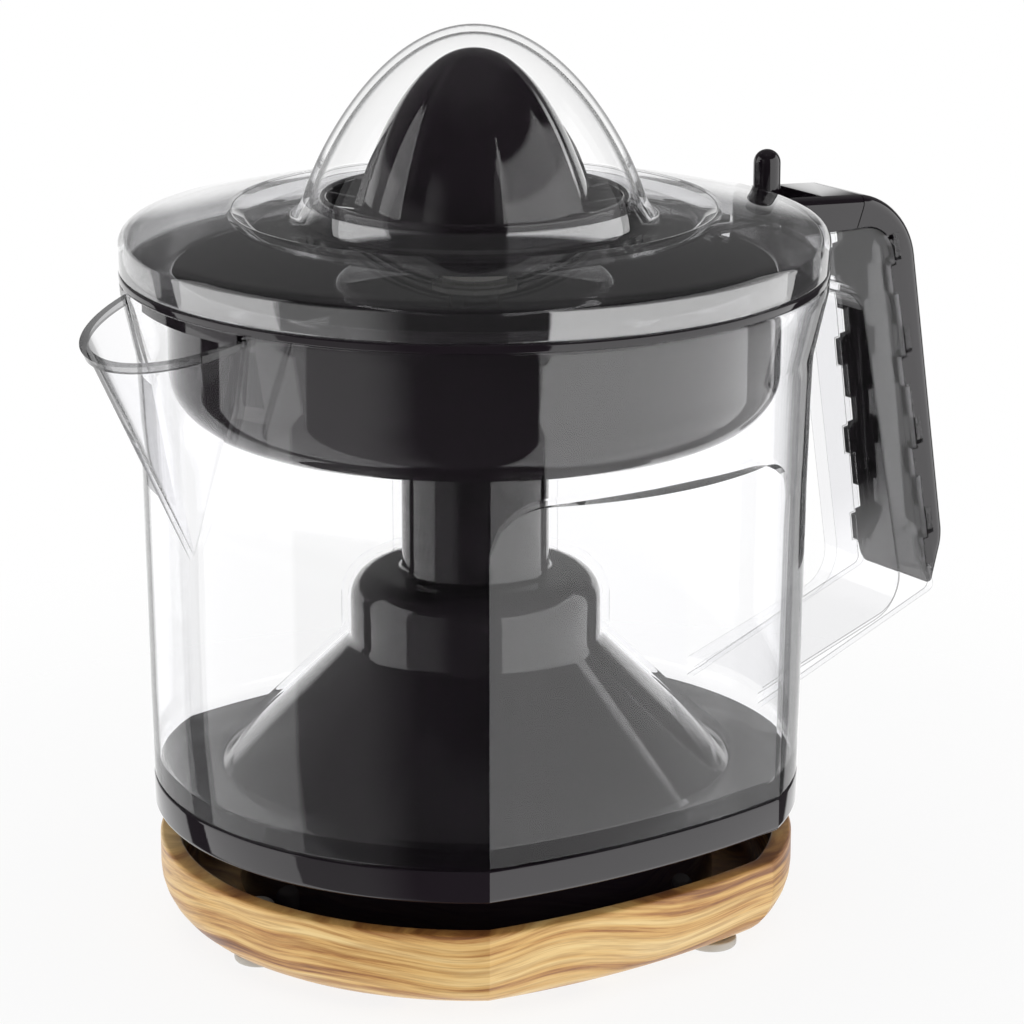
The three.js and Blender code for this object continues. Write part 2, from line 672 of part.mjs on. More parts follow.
// The shaft: the output gear's seat, the collar that pushes the spring cup, and the hexagon for the spindle.
function driveShaft() {
  const shaft = turned([[0, outputGearBottom], [shaftRadius, outputGearBottom], [shaftRadius, collarBottom],
    [collarRadius, collarBottom], [collarRadius, collarBottom + collarHeight],
    [shaftRadius, collarBottom + collarHeight], [shaftRadius, neckBushTop], [0, neckBushTop]], coarse);
  return join(shaft, hexagon(shaftHexRadius, neckBushTop - 0.5, stubTop));
}

class Coil extends THREE.Curve {
  getPoint(t, target = new THREE.Vector3()) {
    const angle = 2 * Math.PI * springTurns * t;
    const rise = (springHeight - 2 * springWire) * t + springWire;
    return target.set(springRadius * Math.cos(angle), springRadius * Math.sin(angle), rise);
  }
}

function returnSpring() {
  const wire = new THREE.Shape(rounded([[-1, -1], [1, -1], [1, 1], [-1, 1]].map(([x, y]) =>
    [x * springWire * 0.8, y * springWire * 0.8])));
  return new THREE.ExtrudeGeometry(wire, { steps: springTurns * 12, extrudePath: new Coil() })
    .translate(0, 0, springBottom);
}

// The cup on top of the spring: it slides in the tower without turning, and its arm works the switch.
function springCup() {
  const cup = rod(cupRadius, cupBottom, cupTop);
  const arm = block([0, cupArm], [-cupArmWidth / 2, cupArmWidth / 2], cupBottom, cupBottom + cupArmHeight);
  return cut(join(cup, arm.rotateZ(switchAngle)), rod(shaftRadius + gap, 0, stubTop));
}

const switchAngle = Math.PI;
const switchBottom = bridgeTop + gap;
const switchTop = switchBottom + switchHeight;
const plungerTop = cupBottom - gap;

function startSwitch() {
  const middle = cupArm - switchLength / 2;
  const length = [middle - switchLength / 2, middle + switchLength / 2];
  const body = block(length, [-switchWidth / 2, switchWidth / 2], switchBottom, switchTop);
  const hole = rod(plungerRadius + gap, switchTop - 4 - pressTravel, switchTop + 1).translate(middle, 0, 0);
  return cut(body, hole).rotateZ(switchAngle);
}

const switchPlunger = () =>
  placed(rod(plungerRadius, switchTop - 3.5, plungerTop), cupArm - switchLength / 2, switchAngle);

// The flanged bush in the top of the neck.
function neckBush() {
  const [bore, bottom, seat] = [shaftRadius + gap, neckTop - neckBushLength, neckTop + gap];
  return turned([[bore, bottom], [neckBushRadius, bottom], [neckBushRadius, seat],
    [neckBushRadius + 2, seat], [neckBushRadius + 2, neckBushTop], [bore, neckBushTop]], coarse);
}

// ---------- jug ----------

// What a side panel takes off the round wall: everything outside a large cylinder, below the panel's top.
function panelRecess(inset, wallBelow) {
  const half = panelHalf + inset + 1;
  const top = panelTop + inset;
  const front = across([[-half, jugBottom - wallBelow], [half, jugBottom - wallBelow],
    [half, top, panelCornerRound + inset], [-half, top, panelCornerRound + inset]], bodyRadius)
    .translate(0, bodyRadius, 0);
  const lean = (panelLean * jugHeight) / (jugHeight - panelDrop);
  const panel = new THREE.CylinderGeometry(panelRadius - inset + lean, panelRadius - inset, jugHeight, 120)
    .rotateX(Math.PI / 2).translate(0, -panelCentre, jugBottom + jugHeight / 2);
  const recess = cut(front, panel);
  return [recess, recess.clone().rotateZ(Math.PI)];
}

// The spout is the part of an upright cone outside the wall, moved inwards by an inset.
function spoutCone(inset) {
  const height = spoutDepth - (inset * spoutDepth) / spoutRadius;
  return new THREE.CylinderGeometry(spoutRadius - inset, 0, height, coarse * 2).rotateX(Math.PI / 2)
    .translate(-bodyRadius, 0, jugTop - height / 2);
}

// The layer of the spout under its sloping lip, down to a depth.
function spoutLayer(depth) {
  const wide = [-2 * spoutRadius, 2 * spoutRadius];
  return block(wide, wide, -depth, 0).rotateY(-Math.atan(spoutFall)).translate(-bodyRadius, 0, jugTop);
}

const spoutOutside = () => join(common(spoutCone(0), spoutLayer(2 * spoutDepth)),
  common(spoutCone(-spoutLip), spoutLayer(spoutLipHeight)));

// The handle's clear channel: its web faces the hand, and its two side walls point outwards to the grip.
const gapTop = jugTop - gapTopDrop;
const handleTop = jugTop - handleTopDrop;
const handSide = [[handleStart, gapTop], [gapTopReach, gapTop, gapRound],
  [gapBottomReach, jugBottom + gapBottom, gapRound], [handleStart, jugBottom + armTop]];
const seamSide = [[handleStart, jugBottom + armBottom], [seamBottomReach, jugBottom + seamBottom, 2],
  [seamTopReach, handleTop, gapRound], [handleStart, handleTop]];

// An outline in the handle's plane extended to the handle's width, which grows downwards, less an inset.
function acrossHandle(corners, inset, edge = 0) {
  const bevel = { bevelSize: edge, bevelThickness: edge, bevelOffset: -edge, bevelSegments: 2 };
  const shape = new THREE.Shape(rounded(corners, handleTurn));
  const geometry = new THREE.ExtrudeGeometry(shape, { depth: 2, bevelEnabled: edge > 0, ...bevel })
    .translate(0, 0, -1).rotateX(Math.PI / 2);
  const position = geometry.getAttribute('position');
  for (let i = 0; i < position.count; i += 1) {
    const share = (position.getZ(i) - jugBottom) / (capTop - jugBottom);
    const width = THREE.MathUtils.lerp(handleBottomWidth, handleTopWidth, share);
    const y = position.getY(i);
    position.setY(i, y + Math.sign(y) * (width / 2 - inset - edge - 1));
  }
  return geometry;
}

function handleChannel() {
  const whole = acrossHandle([...handSide, ...seamSide], 0);
  const hollow = acrossHandle([...beside(handSide, handleWallThickness), [handleStart, jugBottom - beyond],
    [gripBottomReach + beyond, jugBottom - beyond], [gripBottomReach + beyond, jugTop + beyond],
    [handleStart, jugTop + beyond]], handleWallThickness);
  const tabHoles = alongSeam(0, tabLength + 2 * gap, -1, tabDepth + gap, -1);
  return cut(whole, cut(hollow, rod(shoulderRadius, 0, jugTop + 2 * beyond, fine)), tabHoles);
}

const jugShoulder = jugTop - flareHeight;
const jugOutside = [[0, jugBottom], [bodyRadius, jugBottom], [shoulderRadius, jugShoulder, flareRound],
  [rimRadius, jugTop - rimHeight, rimRound], [rimRadius, jugTop], [0, jugTop]];

function jug() {
  const outside = join(cut(turned(jugOutside), panelRecess(0, 1)), spoutOutside(), handleChannel());
  const insideWall = [[0, jugFloorTop], [bodyRadius - jugWall, jugFloorTop],
    [shoulderRadius - jugWall, jugShoulder, flareRound], [rimRadius - jugWall, jugTop - rimHeight, rimRound],
    [rimRadius - jugWall, jugTop + 1], [0, jugTop + 1]];
  const inside = cut(turned(insideWall), panelRecess(jugWall, 1));
  const shell = cut(outside, inside, spoutCone(jugWall).translate(0, 0, gap));
  const housing = [[coneRadius, deckTop], [towerRadius, towerFootTop],
    [towerRadius, shoulderTop, towerRound], [neckRadius, shoulderTop], [neckRadius, chimneyTop]];
  const over = beside(housing, -hubGap);
  const outer = beside(housing, -hubGap - hubWall);
  over[0] = [over[0][0] + 2, deckTop - 2];
  over[4] = [over[4][0], chimneyTop + 1];
  outer[0] = [outer[0][0] + 1, jugBottom];
  outer[4] = [outer[4][0], chimneyTop];
  const hub = turned([[0, jugBottom], ...outer, [0, chimneyTop]]);
  const hollow = turned([[0, deckTop - 2], ...over, [0, chimneyTop + 1]]);
  return cut(join(shell, hub), hollow);
}

// ---------- handle cap and grip ----------

// The black parts close the channel: the cap over the upper arm, and the grip down the outer side.
const capBottom = jugTop - gap;
const capTop = jugTop + capHeight;
const blackOutside = [[seamBottomReach + gap, jugBottom + seamBottom - gap],
  [gripBottomReach, jugBottom + gripBend, gripBottomRound],
  [gripTopReach, jugTop + gripTopRise, gripTopRound], [capStart, capTop]];

// Rectangles in both side walls at even steps along the seam, from one distance inside it to another.
function alongSeam(shift, length, from, to, inset = 0) {
  const [bottom, top] = seamSide.slice(1, 3).map(([x, y]) => new THREE.Vector2(x, y));
  const along = top.clone().sub(bottom).normalize();
  const inwards = new THREE.Vector2(-along.y, along.x);
  return Array.from({ length: tabCount }, (_, i) => {
    const middle = bottom.clone().lerp(top, (i + 0.42) / tabCount).addScaledVector(along, shift);
    const corner = (u, v) => middle.clone().addScaledVector(along, u).addScaledVector(inwards, v).toArray();
    return acrossHandle([corner(-length / 2, from), corner(length / 2, from), corner(length / 2, to),
      corner(-length / 2, to)], inset);
  });
}

// Both black parts as one shell, and the region of the cap, whose end slopes out to the grip.
function blackShell() {
  const closing = [[capStart, jugBottom + seamBottom]];
  const whole = acrossHandle([...blackOutside, ...closing], 0, handleEdge);
  const inner = beside(blackOutside, mouldedWall);
  inner[inner.length - 1][0] += mouldedWall;
  const hollow = acrossHandle([...inner, [inner.at(-1)[0], jugBottom + seamBottom]], mouldedWall, 1);
  return cut(whole, hollow, across(beside(seamSide, -gap), 2 * handleBottomWidth));
}

const capRegion = (grow) => across([[0, capBottom], [capEnd + grow, capBottom],
  [capEnd + capEndSlope + grow, capTop], [0, capTop]], 2 * handleBottomWidth);

function handleGrip() {
  const shell = cut(blackShell(), capRegion(gap));
  const windows = alongSeam(tabLength + 1, tabLength, -windowDepth - gap, 1, -1);
  const inside = acrossHandle([[0, 0], [2 * gripBottomReach, 0], [2 * gripBottomReach, capTop], [0, capTop]],
    handleWallThickness);
  return join(cut(shell, windows), cut(join(...alongSeam(0, tabLength, -1, tabDepth)), inside));
}

function handleCap() {
  const notch = block([0, capNotchReach], [-capNotchWidth / 2, capNotchWidth / 2], 0, capTop + 1);
  return cut(common(blackShell(), capRegion(0)), notch);
}

// ---------- juice bowl ----------

function slots(bottom, top) {
  const slot = block([slotStart, slotEnd], [-slotWidth / 2, slotWidth / 2], bottom, top);
  return around(slot, slotCount, Math.PI / slotCount);
}

function juiceBowl() {
  const shell = turned([[hubFootRadius - bowlWall, bowlBottom], [bowlRadius, bowlBottom, bowlRound],
    [bowlRadius, bowlRimBottom], [bowlRimRadius, bowlRimBottom], [bowlRimRadius, bowlRimTop],
    [bowlRadius - bowlWall, bowlRimTop], [bowlRadius - bowlWall, bowlFloorTop, bowlRound - bowlWall],
    [hubFootRadius, bowlFloorTop], [hubTopRadius, hubTop, 3], [spindleBushRadius + gap, hubTop],
    [spindleBushRadius + gap, hubTop - bowlWall], [hubTopRadius - bowlWall, hubTop - bowlWall]]);
  const guard = sector(jugWallAtSpout - 3, jugWallAtSpout, THREE.MathUtils.degToRad(spoutGuardAngle),
    bowlRimBottom - spoutGuardDepth, bowlRimBottom + 0.5).rotateZ(Math.PI);
  const notch = sector(bowlRadius - bowlWall - 3, bowlRimRadius + 5, leverSweep, bowlRimBottom - gap,
    bowlRimTop + 5);
  return cut(join(shell, guard), notch, slots(bowlBottom - 1, bowlFloorTop + 1));
}

const jugWallAtSpout = rimRadius - jugWall - gap;
const leverSweep = THREE.MathUtils.degToRad(selectorAngle) + (leverArmWidth / 2 + gap) / bowlRadius;

// ---------- pulp selector ----------

// A flat sieve on the bowl's floor; its arm climbs the wall and crosses the rim to the lever.
function pulpRing() {
  const bottom = bowlFloorTop + gap;
  const armBottomLevel = bowlRimBottom + gap;
  const ring = tube(hubFootRadius + sieveClearance, sieveOuter, bottom, bottom + sieveThickness, fine);
  const climb = bowlRadius - bowlWall - gap - 0.4;
  const armPath = [[sieveOuter - 2, bottom], [sieveOuter + 2, bottom], [climb, bottom + 11.5],
    [climb, armBottomLevel], [leverReach + leverRadius, armBottomLevel]];
  const arm = across(walled(armPath, leverArmThickness), leverArmWidth);
  const hole = rod(leverRadius / 2 + gap, bowlRimBottom, bowlRimTop + 2).translate(leverReach, 0, 0);
  return cut(join(ring, arm), slots(bottom - 1, bottom + sieveThickness + 1), hole);
}

// The lever that stands up beside the lid.
function pulpLever() {
  const pin = bowlRimBottom + gap;
  const bottom = pin + leverArmThickness + gap;
  const top = bottom + leverHeight;
  return turned([[0, pin], [leverRadius / 2, pin], [leverRadius / 2, bottom], [leverRadius, bottom],
    [leverRadius, top, leverRadius * 0.98], [0, top]], coarse).translate(leverReach, 0, 0);
}

// ---------- spindle in the bowl ----------

function spindleBush() {
  const bore = spindleRadius + gap;
  const flangeRadius = spindleBushRadius + 2.5;
  const seat = spindleBushTop - bushFlange;
  return turned([[bore, spindleBushBottom], [spindleBushRadius, spindleBushBottom], [spindleBushRadius, seat],
    [flangeRadius, seat], [flangeRadius, spindleBushTop], [bore, spindleBushTop]], coarse);
}

// The spindle: a socket over the shaft's hexagon below, and a hexagon for the reamer above.
function driveSpindle() {
  const body = turned([[0, neckBushTop + pressTravel], [socketRadius, neckBushTop + pressTravel],
    [socketRadius, spindleBushBottom - gap], [spindleRadius, spindleBushBottom - gap],
    [spindleRadius, spindleHexBottom + 0.5], [0, spindleHexBottom + 0.5]], coarse);
  const hex = hexagon(spindleHexRadius, spindleHexBottom, spindleTop);
  const socket = hexagon(shaftHexRadius + gap / Math.cos(Math.PI / 6), 0, stubTop + gap);
  return cut(join(body, hex), socket);
}

// ---------- reamer ----------

// The outline of the cone: steep at the foot and blunt at the tip.
const reamerProfile = (share) => reamerRadius * Math.sqrt(1 - share ** 1.28);

function reamer() {
  const foot = reamerBottom + coneFoot;
  const onProfile = (share, inset = 0) => [reamerProfile(share) - inset, foot + share * reamerHeight];
  const points = [0, 0.25, 0.5, 0.7, 0.85, 0.95, 1].map((share) => new THREE.Vector2(...onProfile(share)));
  const centre = new THREE.Vector2(0, foot);
  const cone = new THREE.LatheGeometry([centre, ...points, centre], 40).rotateX(Math.PI / 2);
  flute(cone);
  const hollow = turned([[0, reamerBottom], ...[0, 0.38, 0.7].map((share) =>
    onProfile(share, reamerFlute * reamerProfile(share) + reamerWall)), [0, foot + 0.8 * reamerHeight]], 16);
  const inner = reamerSkirtRadius - skirtWall;
  const web = [reamerBottom + skirtWebBottom, reamerBottom + skirtWebTop];
  const skirtTop = reamerBottom + reamerSkirtHeight;
  const skirt = turned([[reamerRadius - webOverlap, web[0]], [inner, web[0]], [inner, reamerBottom],
    [reamerSkirtRadius, reamerBottom], [reamerSkirtRadius, skirtTop], [inner, skirtTop], [inner, web[1]],
    [reamerRadius - webOverlap, web[1]]]);
  const post = rod(spindleHexRadius + 3, reamerBottom - 1, foot + 0.85 * reamerHeight);
  const socket = hexagon(spindleHexRadius + gap / Math.cos(Math.PI / 6), 0, reamerSocketTop);
  const fin = across([[reamerRadius - webOverlap, web[0] + 1], [inner + 1, web[0] + 1],
    [inner + 0.5, skirtTop - 1], [reamerRadius - webOverlap, skirtTop - 2]], finThickness);
  return cut(join(cut(cone, hollow), skirt, post, around(fin, finCount, finTurn)), socket);
}

// Hollows between eight ridges, of which four reach the tip.
function flute(geometry) {
  const position = geometry.getAttribute('position');
  for (let i = 0; i < position.count; i += 1) {
    const [x, y, z] = [position.getX(i), position.getY(i), position.getZ(i)];
    const angle = Math.atan2(y, x) - ribTurn;
    const high = THREE.MathUtils.smoothstep((z - reamerBottom) / reamerHeight, 0.5, 0.9);
    const wave = THREE.MathUtils.lerp(Math.abs(Math.sin(4 * angle)), Math.abs(Math.sin(2 * angle)), high);
    const scale = 1 - reamerFlute * wave;
    position.setXY(i, x * scale, y * scale);
  }
}

// ---------- lid ----------

function lid() {
  const skirtTop = lidBottom + lidSkirt;
  const moatBottom = lidBottom + moatFloor;
  const dome = Array.from({ length: 6 }, (_, i) => {
    const share = 1 - (1 - i / 5) ** 1.7;
    return [domeRadius * Math.sqrt(1 - share ** domePower), lidBottom + domeFoot + share * domeHeight];
  });
  const outside = [[lidRadius, lidBottom], [lidRadius, skirtTop + 1, lidRound],
    [lidShoulderRadius, skirtTop + lidShoulderRise], [moatOuter, lidBottom + moatRim],
    [moatOuter - moatSlope, moatBottom, 3], [domeRadius + moatGap, moatBottom, 4], ...dome];
  const inner = beside(outside, lidWall);
  inner[inner.length - 1] = [0, lidBottom + domeFoot + domeHeight - lidWall];
  return turned([...outside, ...inner.reverse()]);
}

// ---------- materials and assembly ----------

const finish = (color, roughness, metalness) =>
  new THREE.MeshStandardMaterial({ color, roughness, metalness });
const plastic = (color, roughness = 0.25) => finish(color, roughness, 0);
const metal = (color, roughness = 0.35) => finish(color, roughness, 1);
const materials = {
  wood: () => finish(0xc8985a, 0.5, 0),
  rubber: () => plastic(0xb9ae9c, 0.7),
  black: () => plastic(0x141216, 0.15),
  clear: () => new THREE.MeshStandardMaterial(
    { color: 0xe8eef0, roughness: 0.05, metalness: 0, transparent: true, opacity: 0.35 }),
  nylon: () => plastic(0xe4e0d4, 0.5),
  steel: () => metal(0xb0b2b5),
  brass: () => metal(0xb5924c),
  copper: () => metal(0x9c5a35),
};

const numbered = (name, angles, make, material) =>
  angles.map((angle, i) => [`${name}_${i + 1}`, make(angle), material]);

const pieces = [
  ['wood_base', woodBase(), 'wood'],
  ...numbered('foot', footAngles, foot, 'rubber'),
  ...numbered('base_screw', baseScrewAngles, baseScrew, 'steel'),
  ['base_pan', basePan(), 'black'],
  ['cord_gland', cordGland(), 'rubber'],
  ...numbered('housing_screw', housingScrewAngles, housingScrew, 'steel'),
  ['motor_housing', motorHousing(), 'black'],
  ['motor_case', motorCase(), 'steel'],
  ['motor_rotor', rotor(), 'copper'],
  ['motor_pinion', motorPinion(), 'brass'],
  ['gear_plate', gearPlate(), 'steel'],
  ['idler_pin', idlerPin(), 'steel'],
  ['idler_gear', idlerGear(), 'nylon'],
  ['bearing_bridge', bearingBridge(), 'nylon'],
  ['output_gear', outputGear(), 'nylon'],
  ['drive_shaft', driveShaft(), 'steel'],
  ['return_spring', returnSpring(), 'steel'],
  ['spring_cup', springCup(), 'nylon'],
  ['start_switch', startSwitch(), 'black'],
  ['switch_plunger', switchPlunger(), 'nylon'],
  ['neck_bush', neckBush(), 'nylon'],
  ['jug', jug(), 'clear'],
  ['handle_cap', handleCap(), 'black'],
  ['handle_grip', handleGrip(), 'black'],
  ['juice_bowl', juiceBowl(), 'black'],
  ['pulp_ring', pulpRing(), 'black'],
  ['pulp_lever', pulpLever(), 'black'],
  ['spindle_bush', spindleBush(), 'nylon'],
  ['drive_spindle', driveSpindle(), 'steel'],
  ['reamer', reamer(), 'black'],
  ['lid', lid(), 'clear'],
];

const press = new THREE.Group();
for (const [name, geometry, material] of pieces) {
  const mesh = new THREE.Mesh(geometry, materials[material]());
  mesh.name = name;
  press.add(mesh);
}
const footprint = new THREE.Box3().setFromObject(press);
press.position.x = -footprint.getCenter(new THREE.Vector3()).x;

export default new THREE.Group().add(press);
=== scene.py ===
import json
import math

import bmesh
import bpy
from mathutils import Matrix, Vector

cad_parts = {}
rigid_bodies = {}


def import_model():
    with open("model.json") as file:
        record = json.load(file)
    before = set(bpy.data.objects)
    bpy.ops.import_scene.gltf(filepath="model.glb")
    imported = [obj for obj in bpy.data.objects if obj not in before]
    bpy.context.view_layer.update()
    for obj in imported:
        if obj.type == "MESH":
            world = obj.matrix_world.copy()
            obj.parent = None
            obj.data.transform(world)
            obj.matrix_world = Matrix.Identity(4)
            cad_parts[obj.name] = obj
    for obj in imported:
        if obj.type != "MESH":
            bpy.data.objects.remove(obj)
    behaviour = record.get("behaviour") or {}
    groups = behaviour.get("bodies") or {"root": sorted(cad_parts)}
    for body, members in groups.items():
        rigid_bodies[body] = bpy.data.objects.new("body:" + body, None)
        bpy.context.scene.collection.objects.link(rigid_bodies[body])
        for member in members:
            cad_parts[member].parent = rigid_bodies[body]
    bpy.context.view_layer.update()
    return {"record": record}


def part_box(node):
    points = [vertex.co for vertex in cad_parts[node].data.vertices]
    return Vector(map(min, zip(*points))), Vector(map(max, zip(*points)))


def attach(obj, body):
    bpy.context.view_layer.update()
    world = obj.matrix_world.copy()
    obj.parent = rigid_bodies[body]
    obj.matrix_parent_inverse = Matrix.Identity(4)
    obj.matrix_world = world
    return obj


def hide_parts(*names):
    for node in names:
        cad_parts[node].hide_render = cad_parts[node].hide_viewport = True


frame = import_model()

# ----------------------------------------------------------------------
# The press's upright axis. Nearly every part of the press is turned about it, and the reamer stands on
# it, so the reamer's box gives its place. Sizes below are in millimetres from the axis and the worktop.
# ----------------------------------------------------------------------
bpy.ops.object.select_all(action="DESELECT")
MM = 0.001
reamer_low, reamer_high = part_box("reamer")
AXIS_X = (reamer_low.x + reamer_high.x) / 2


def place(reach, height, across=0.0):
    """A point by its reach towards the handle, its height and its distance across, in millimetres."""
    return Vector((AXIS_X + reach * MM, across * MM, height * MM))


# ----------------------------------------------------------------------
# Wooden foot ring. A shallow tray of streaky olive wood, turned, hollowed and oiled, with two flat-ish
# sides that line up with the jug's side panels. Three rubber feet and three screws pass through it.
# ----------------------------------------------------------------------
WOOD_TOP = 22
WOOD_UNDERSIDE = 2.5
WOOD_FLOOR = 7.5
WOOD_RADIUS = 76.4
WOOD_MOUTH = 71.6
WOOD_HOLLOW = 71.4
BODY_RADIUS = 77.5
PANEL_HALF = 41.3
PANEL_RISE = 4.1
PANEL_RADIUS = (PANEL_HALF ** 2 + PANEL_RISE ** 2) / (2 * PANEL_RISE)
PANEL_CENTRE = PANEL_RADIUS - PANEL_RISE - math.sqrt(BODY_RADIUS ** 2 - PANEL_HALF ** 2)
CORNER_TURN = math.acos(PANEL_HALF / BODY_RADIUS)
# Angle and steps of each arc of the plan: the panels' corners fall on a step.
PLAN_ARCS = [
    (CORNER_TURN, 40),
    (math.pi - 2 * CORNER_TURN, 46),
    (2 * CORNER_TURN, 80),
    (math.pi - 2 * CORNER_TURN, 46),
    (CORNER_TURN, 40),
]
SAME_POINT = 2e-6


def pick(test):
    """Selects the points in edit mode whose place passes a test."""
    mesh = bmesh.from_edit_mesh(bpy.context.object.data)
    mesh.select_mode = {"VERT"}
    for point in mesh.verts:
        point.select = bool(test(point.co))
    mesh.select_flush_mode()
    bmesh.update_edit_mesh(bpy.context.object.data)


def draw(name, corners, closed=True, segments=6, about=(0.0, 0.0)):
    """Extrudes an outline corner by corner in an upright plane, then rounds corners that have a radius."""
    spots = [place(about[0] + reach, height, about[1]) for reach, height, *_ in corners]
    bpy.ops.object.select_all(action="DESELECT")
    bpy.ops.mesh.primitive_plane_add(size=MM, enter_editmode=True, location=(0, 0, 0))
    piece = bpy.context.object
    piece.name = name
    piece.data.name = name
    bpy.ops.mesh.merge(type="CENTER")
    bpy.ops.transform.translate(value=spots[0])
    for before, after in zip(spots, spots[1:]):
        bpy.ops.mesh.extrude_region_move(TRANSFORM_OT_translate={"value": after - before})
    if closed:
        pick(lambda co: min((co - spots[0]).length, (co - spots[-1]).length) < SAME_POINT)
        bpy.ops.mesh.edge_face_add()
    for i, corner in enumerate(corners):
        if len(corner) < 3:
            continue
        back = (spots[i - 1] - spots[i]).normalized()
        on = (spots[(i + 1) % len(spots)] - spots[i]).normalized()
        reach = corner[2] * MM / math.tan(back.angle(on) / 2)
        pick(lambda co: (co - spots[i]).length < SAME_POINT)
        bpy.ops.mesh.bevel(offset=reach, segments=segments, affect="VERTICES")
    return piece


def full_turn(steps):
    return [(2 * math.pi, steps)]


def turn(arcs, about=(0.0, 0.0)):
    """Turns the outline in edit mode about an upright axis, in one or more arcs, and closes it."""
    bpy.ops.mesh.select_all(action="SELECT")
    centre = place(about[0], 0, about[1])
    for angle, steps in arcs:
        bpy.ops.mesh.spin(steps=steps, angle=angle, center=centre, axis=(0, 0, 1))
    tidy_mesh()


def tidy_mesh():
    """Merges doubled points, turns every face outwards and leaves edit mode."""
    bpy.ops.mesh.select_all(action="SELECT")
    bpy.ops.mesh.remove_doubles(threshold=SAME_POINT)
    bpy.ops.mesh.normals_make_consistent(inside=False)
    bpy.ops.object.mode_set(mode="OBJECT")


def panel_share(x, y):
    """How far out the side panels lie in a direction from the axis, as a share of the round wall."""
    length = math.hypot(x, y)
    along, side = abs(x) / length, abs(y) / length
    if along >= PANEL_HALF / BODY_RADIUS:
        return 1.0
    offset = side * PANEL_CENTRE
    return (math.sqrt(offset ** 2 - PANEL_CENTRE ** 2 + PANEL_RADIUS ** 2) - offset) / BODY_RADIUS


def press_panels(piece, inner_limit):
    """Presses the two side panels into a turned piece, outside a given distance from the axis."""
    for point in piece.data.vertices:
        x, y = point.co.x - AXIS_X, point.co.y
        if math.hypot(x, y) > inner_limit * MM:
            share = panel_share(x, y)
            point.co.x = AXIS_X + x * share
            point.co.y = y * share


def only(piece):
    """Selects one object and makes it active."""
    bpy.ops.object.select_all(action="DESELECT")
    piece.select_set(True)
    bpy.context.view_layer.objects.active = piece


def shade(piece, material, angle=30):
    """Smooths the edges flatter than an angle in degrees and gives the piece its finish."""
    only(piece)
    bpy.ops.object.shade_smooth_by_angle(angle=math.radians(angle))
    piece.data.materials.clear()
    piece.data.materials.append(material)


def add_node(tree, kind, inputs=None, **settings):
    """Adds a node, sets its options, and sets or links its inputs."""
    made = tree.nodes.new(kind)
    for option, value in settings.items():
        setattr(made, option, value)
    for socket, value in (inputs or {}).items():
        if isinstance(value, bpy.types.NodeSocket):
            tree.links.new(value, made.inputs[socket])
        else:
            made.inputs[socket].default_value = value
    return made


def new_material(name, **shader_values):
    """A material whose plain values are set on the shader's own sockets."""
    material = bpy.data.materials.new(name)
    material.use_nodes = True
    tree = material.node_tree
    shader = tree.nodes["Principled BSDF"]
    for socket, value in shader_values.items():
        shader.inputs[socket.replace("_", " ")].default_value = value
    return material, tree, shader


def colour_stops(tree, factor, stops):
    """A colour ramp from a list of positions and colours."""
    ramp = add_node(tree, "ShaderNodeValToRGB", {"Fac": factor})
    elements = ramp.color_ramp.elements
    while len(elements) < len(stops):
        elements.new(0.5)
    for element, (position, colour) in zip(elements, stops):
        element.position = position
        element.color = (*colour, 1)
    return ramp.outputs["Color"]


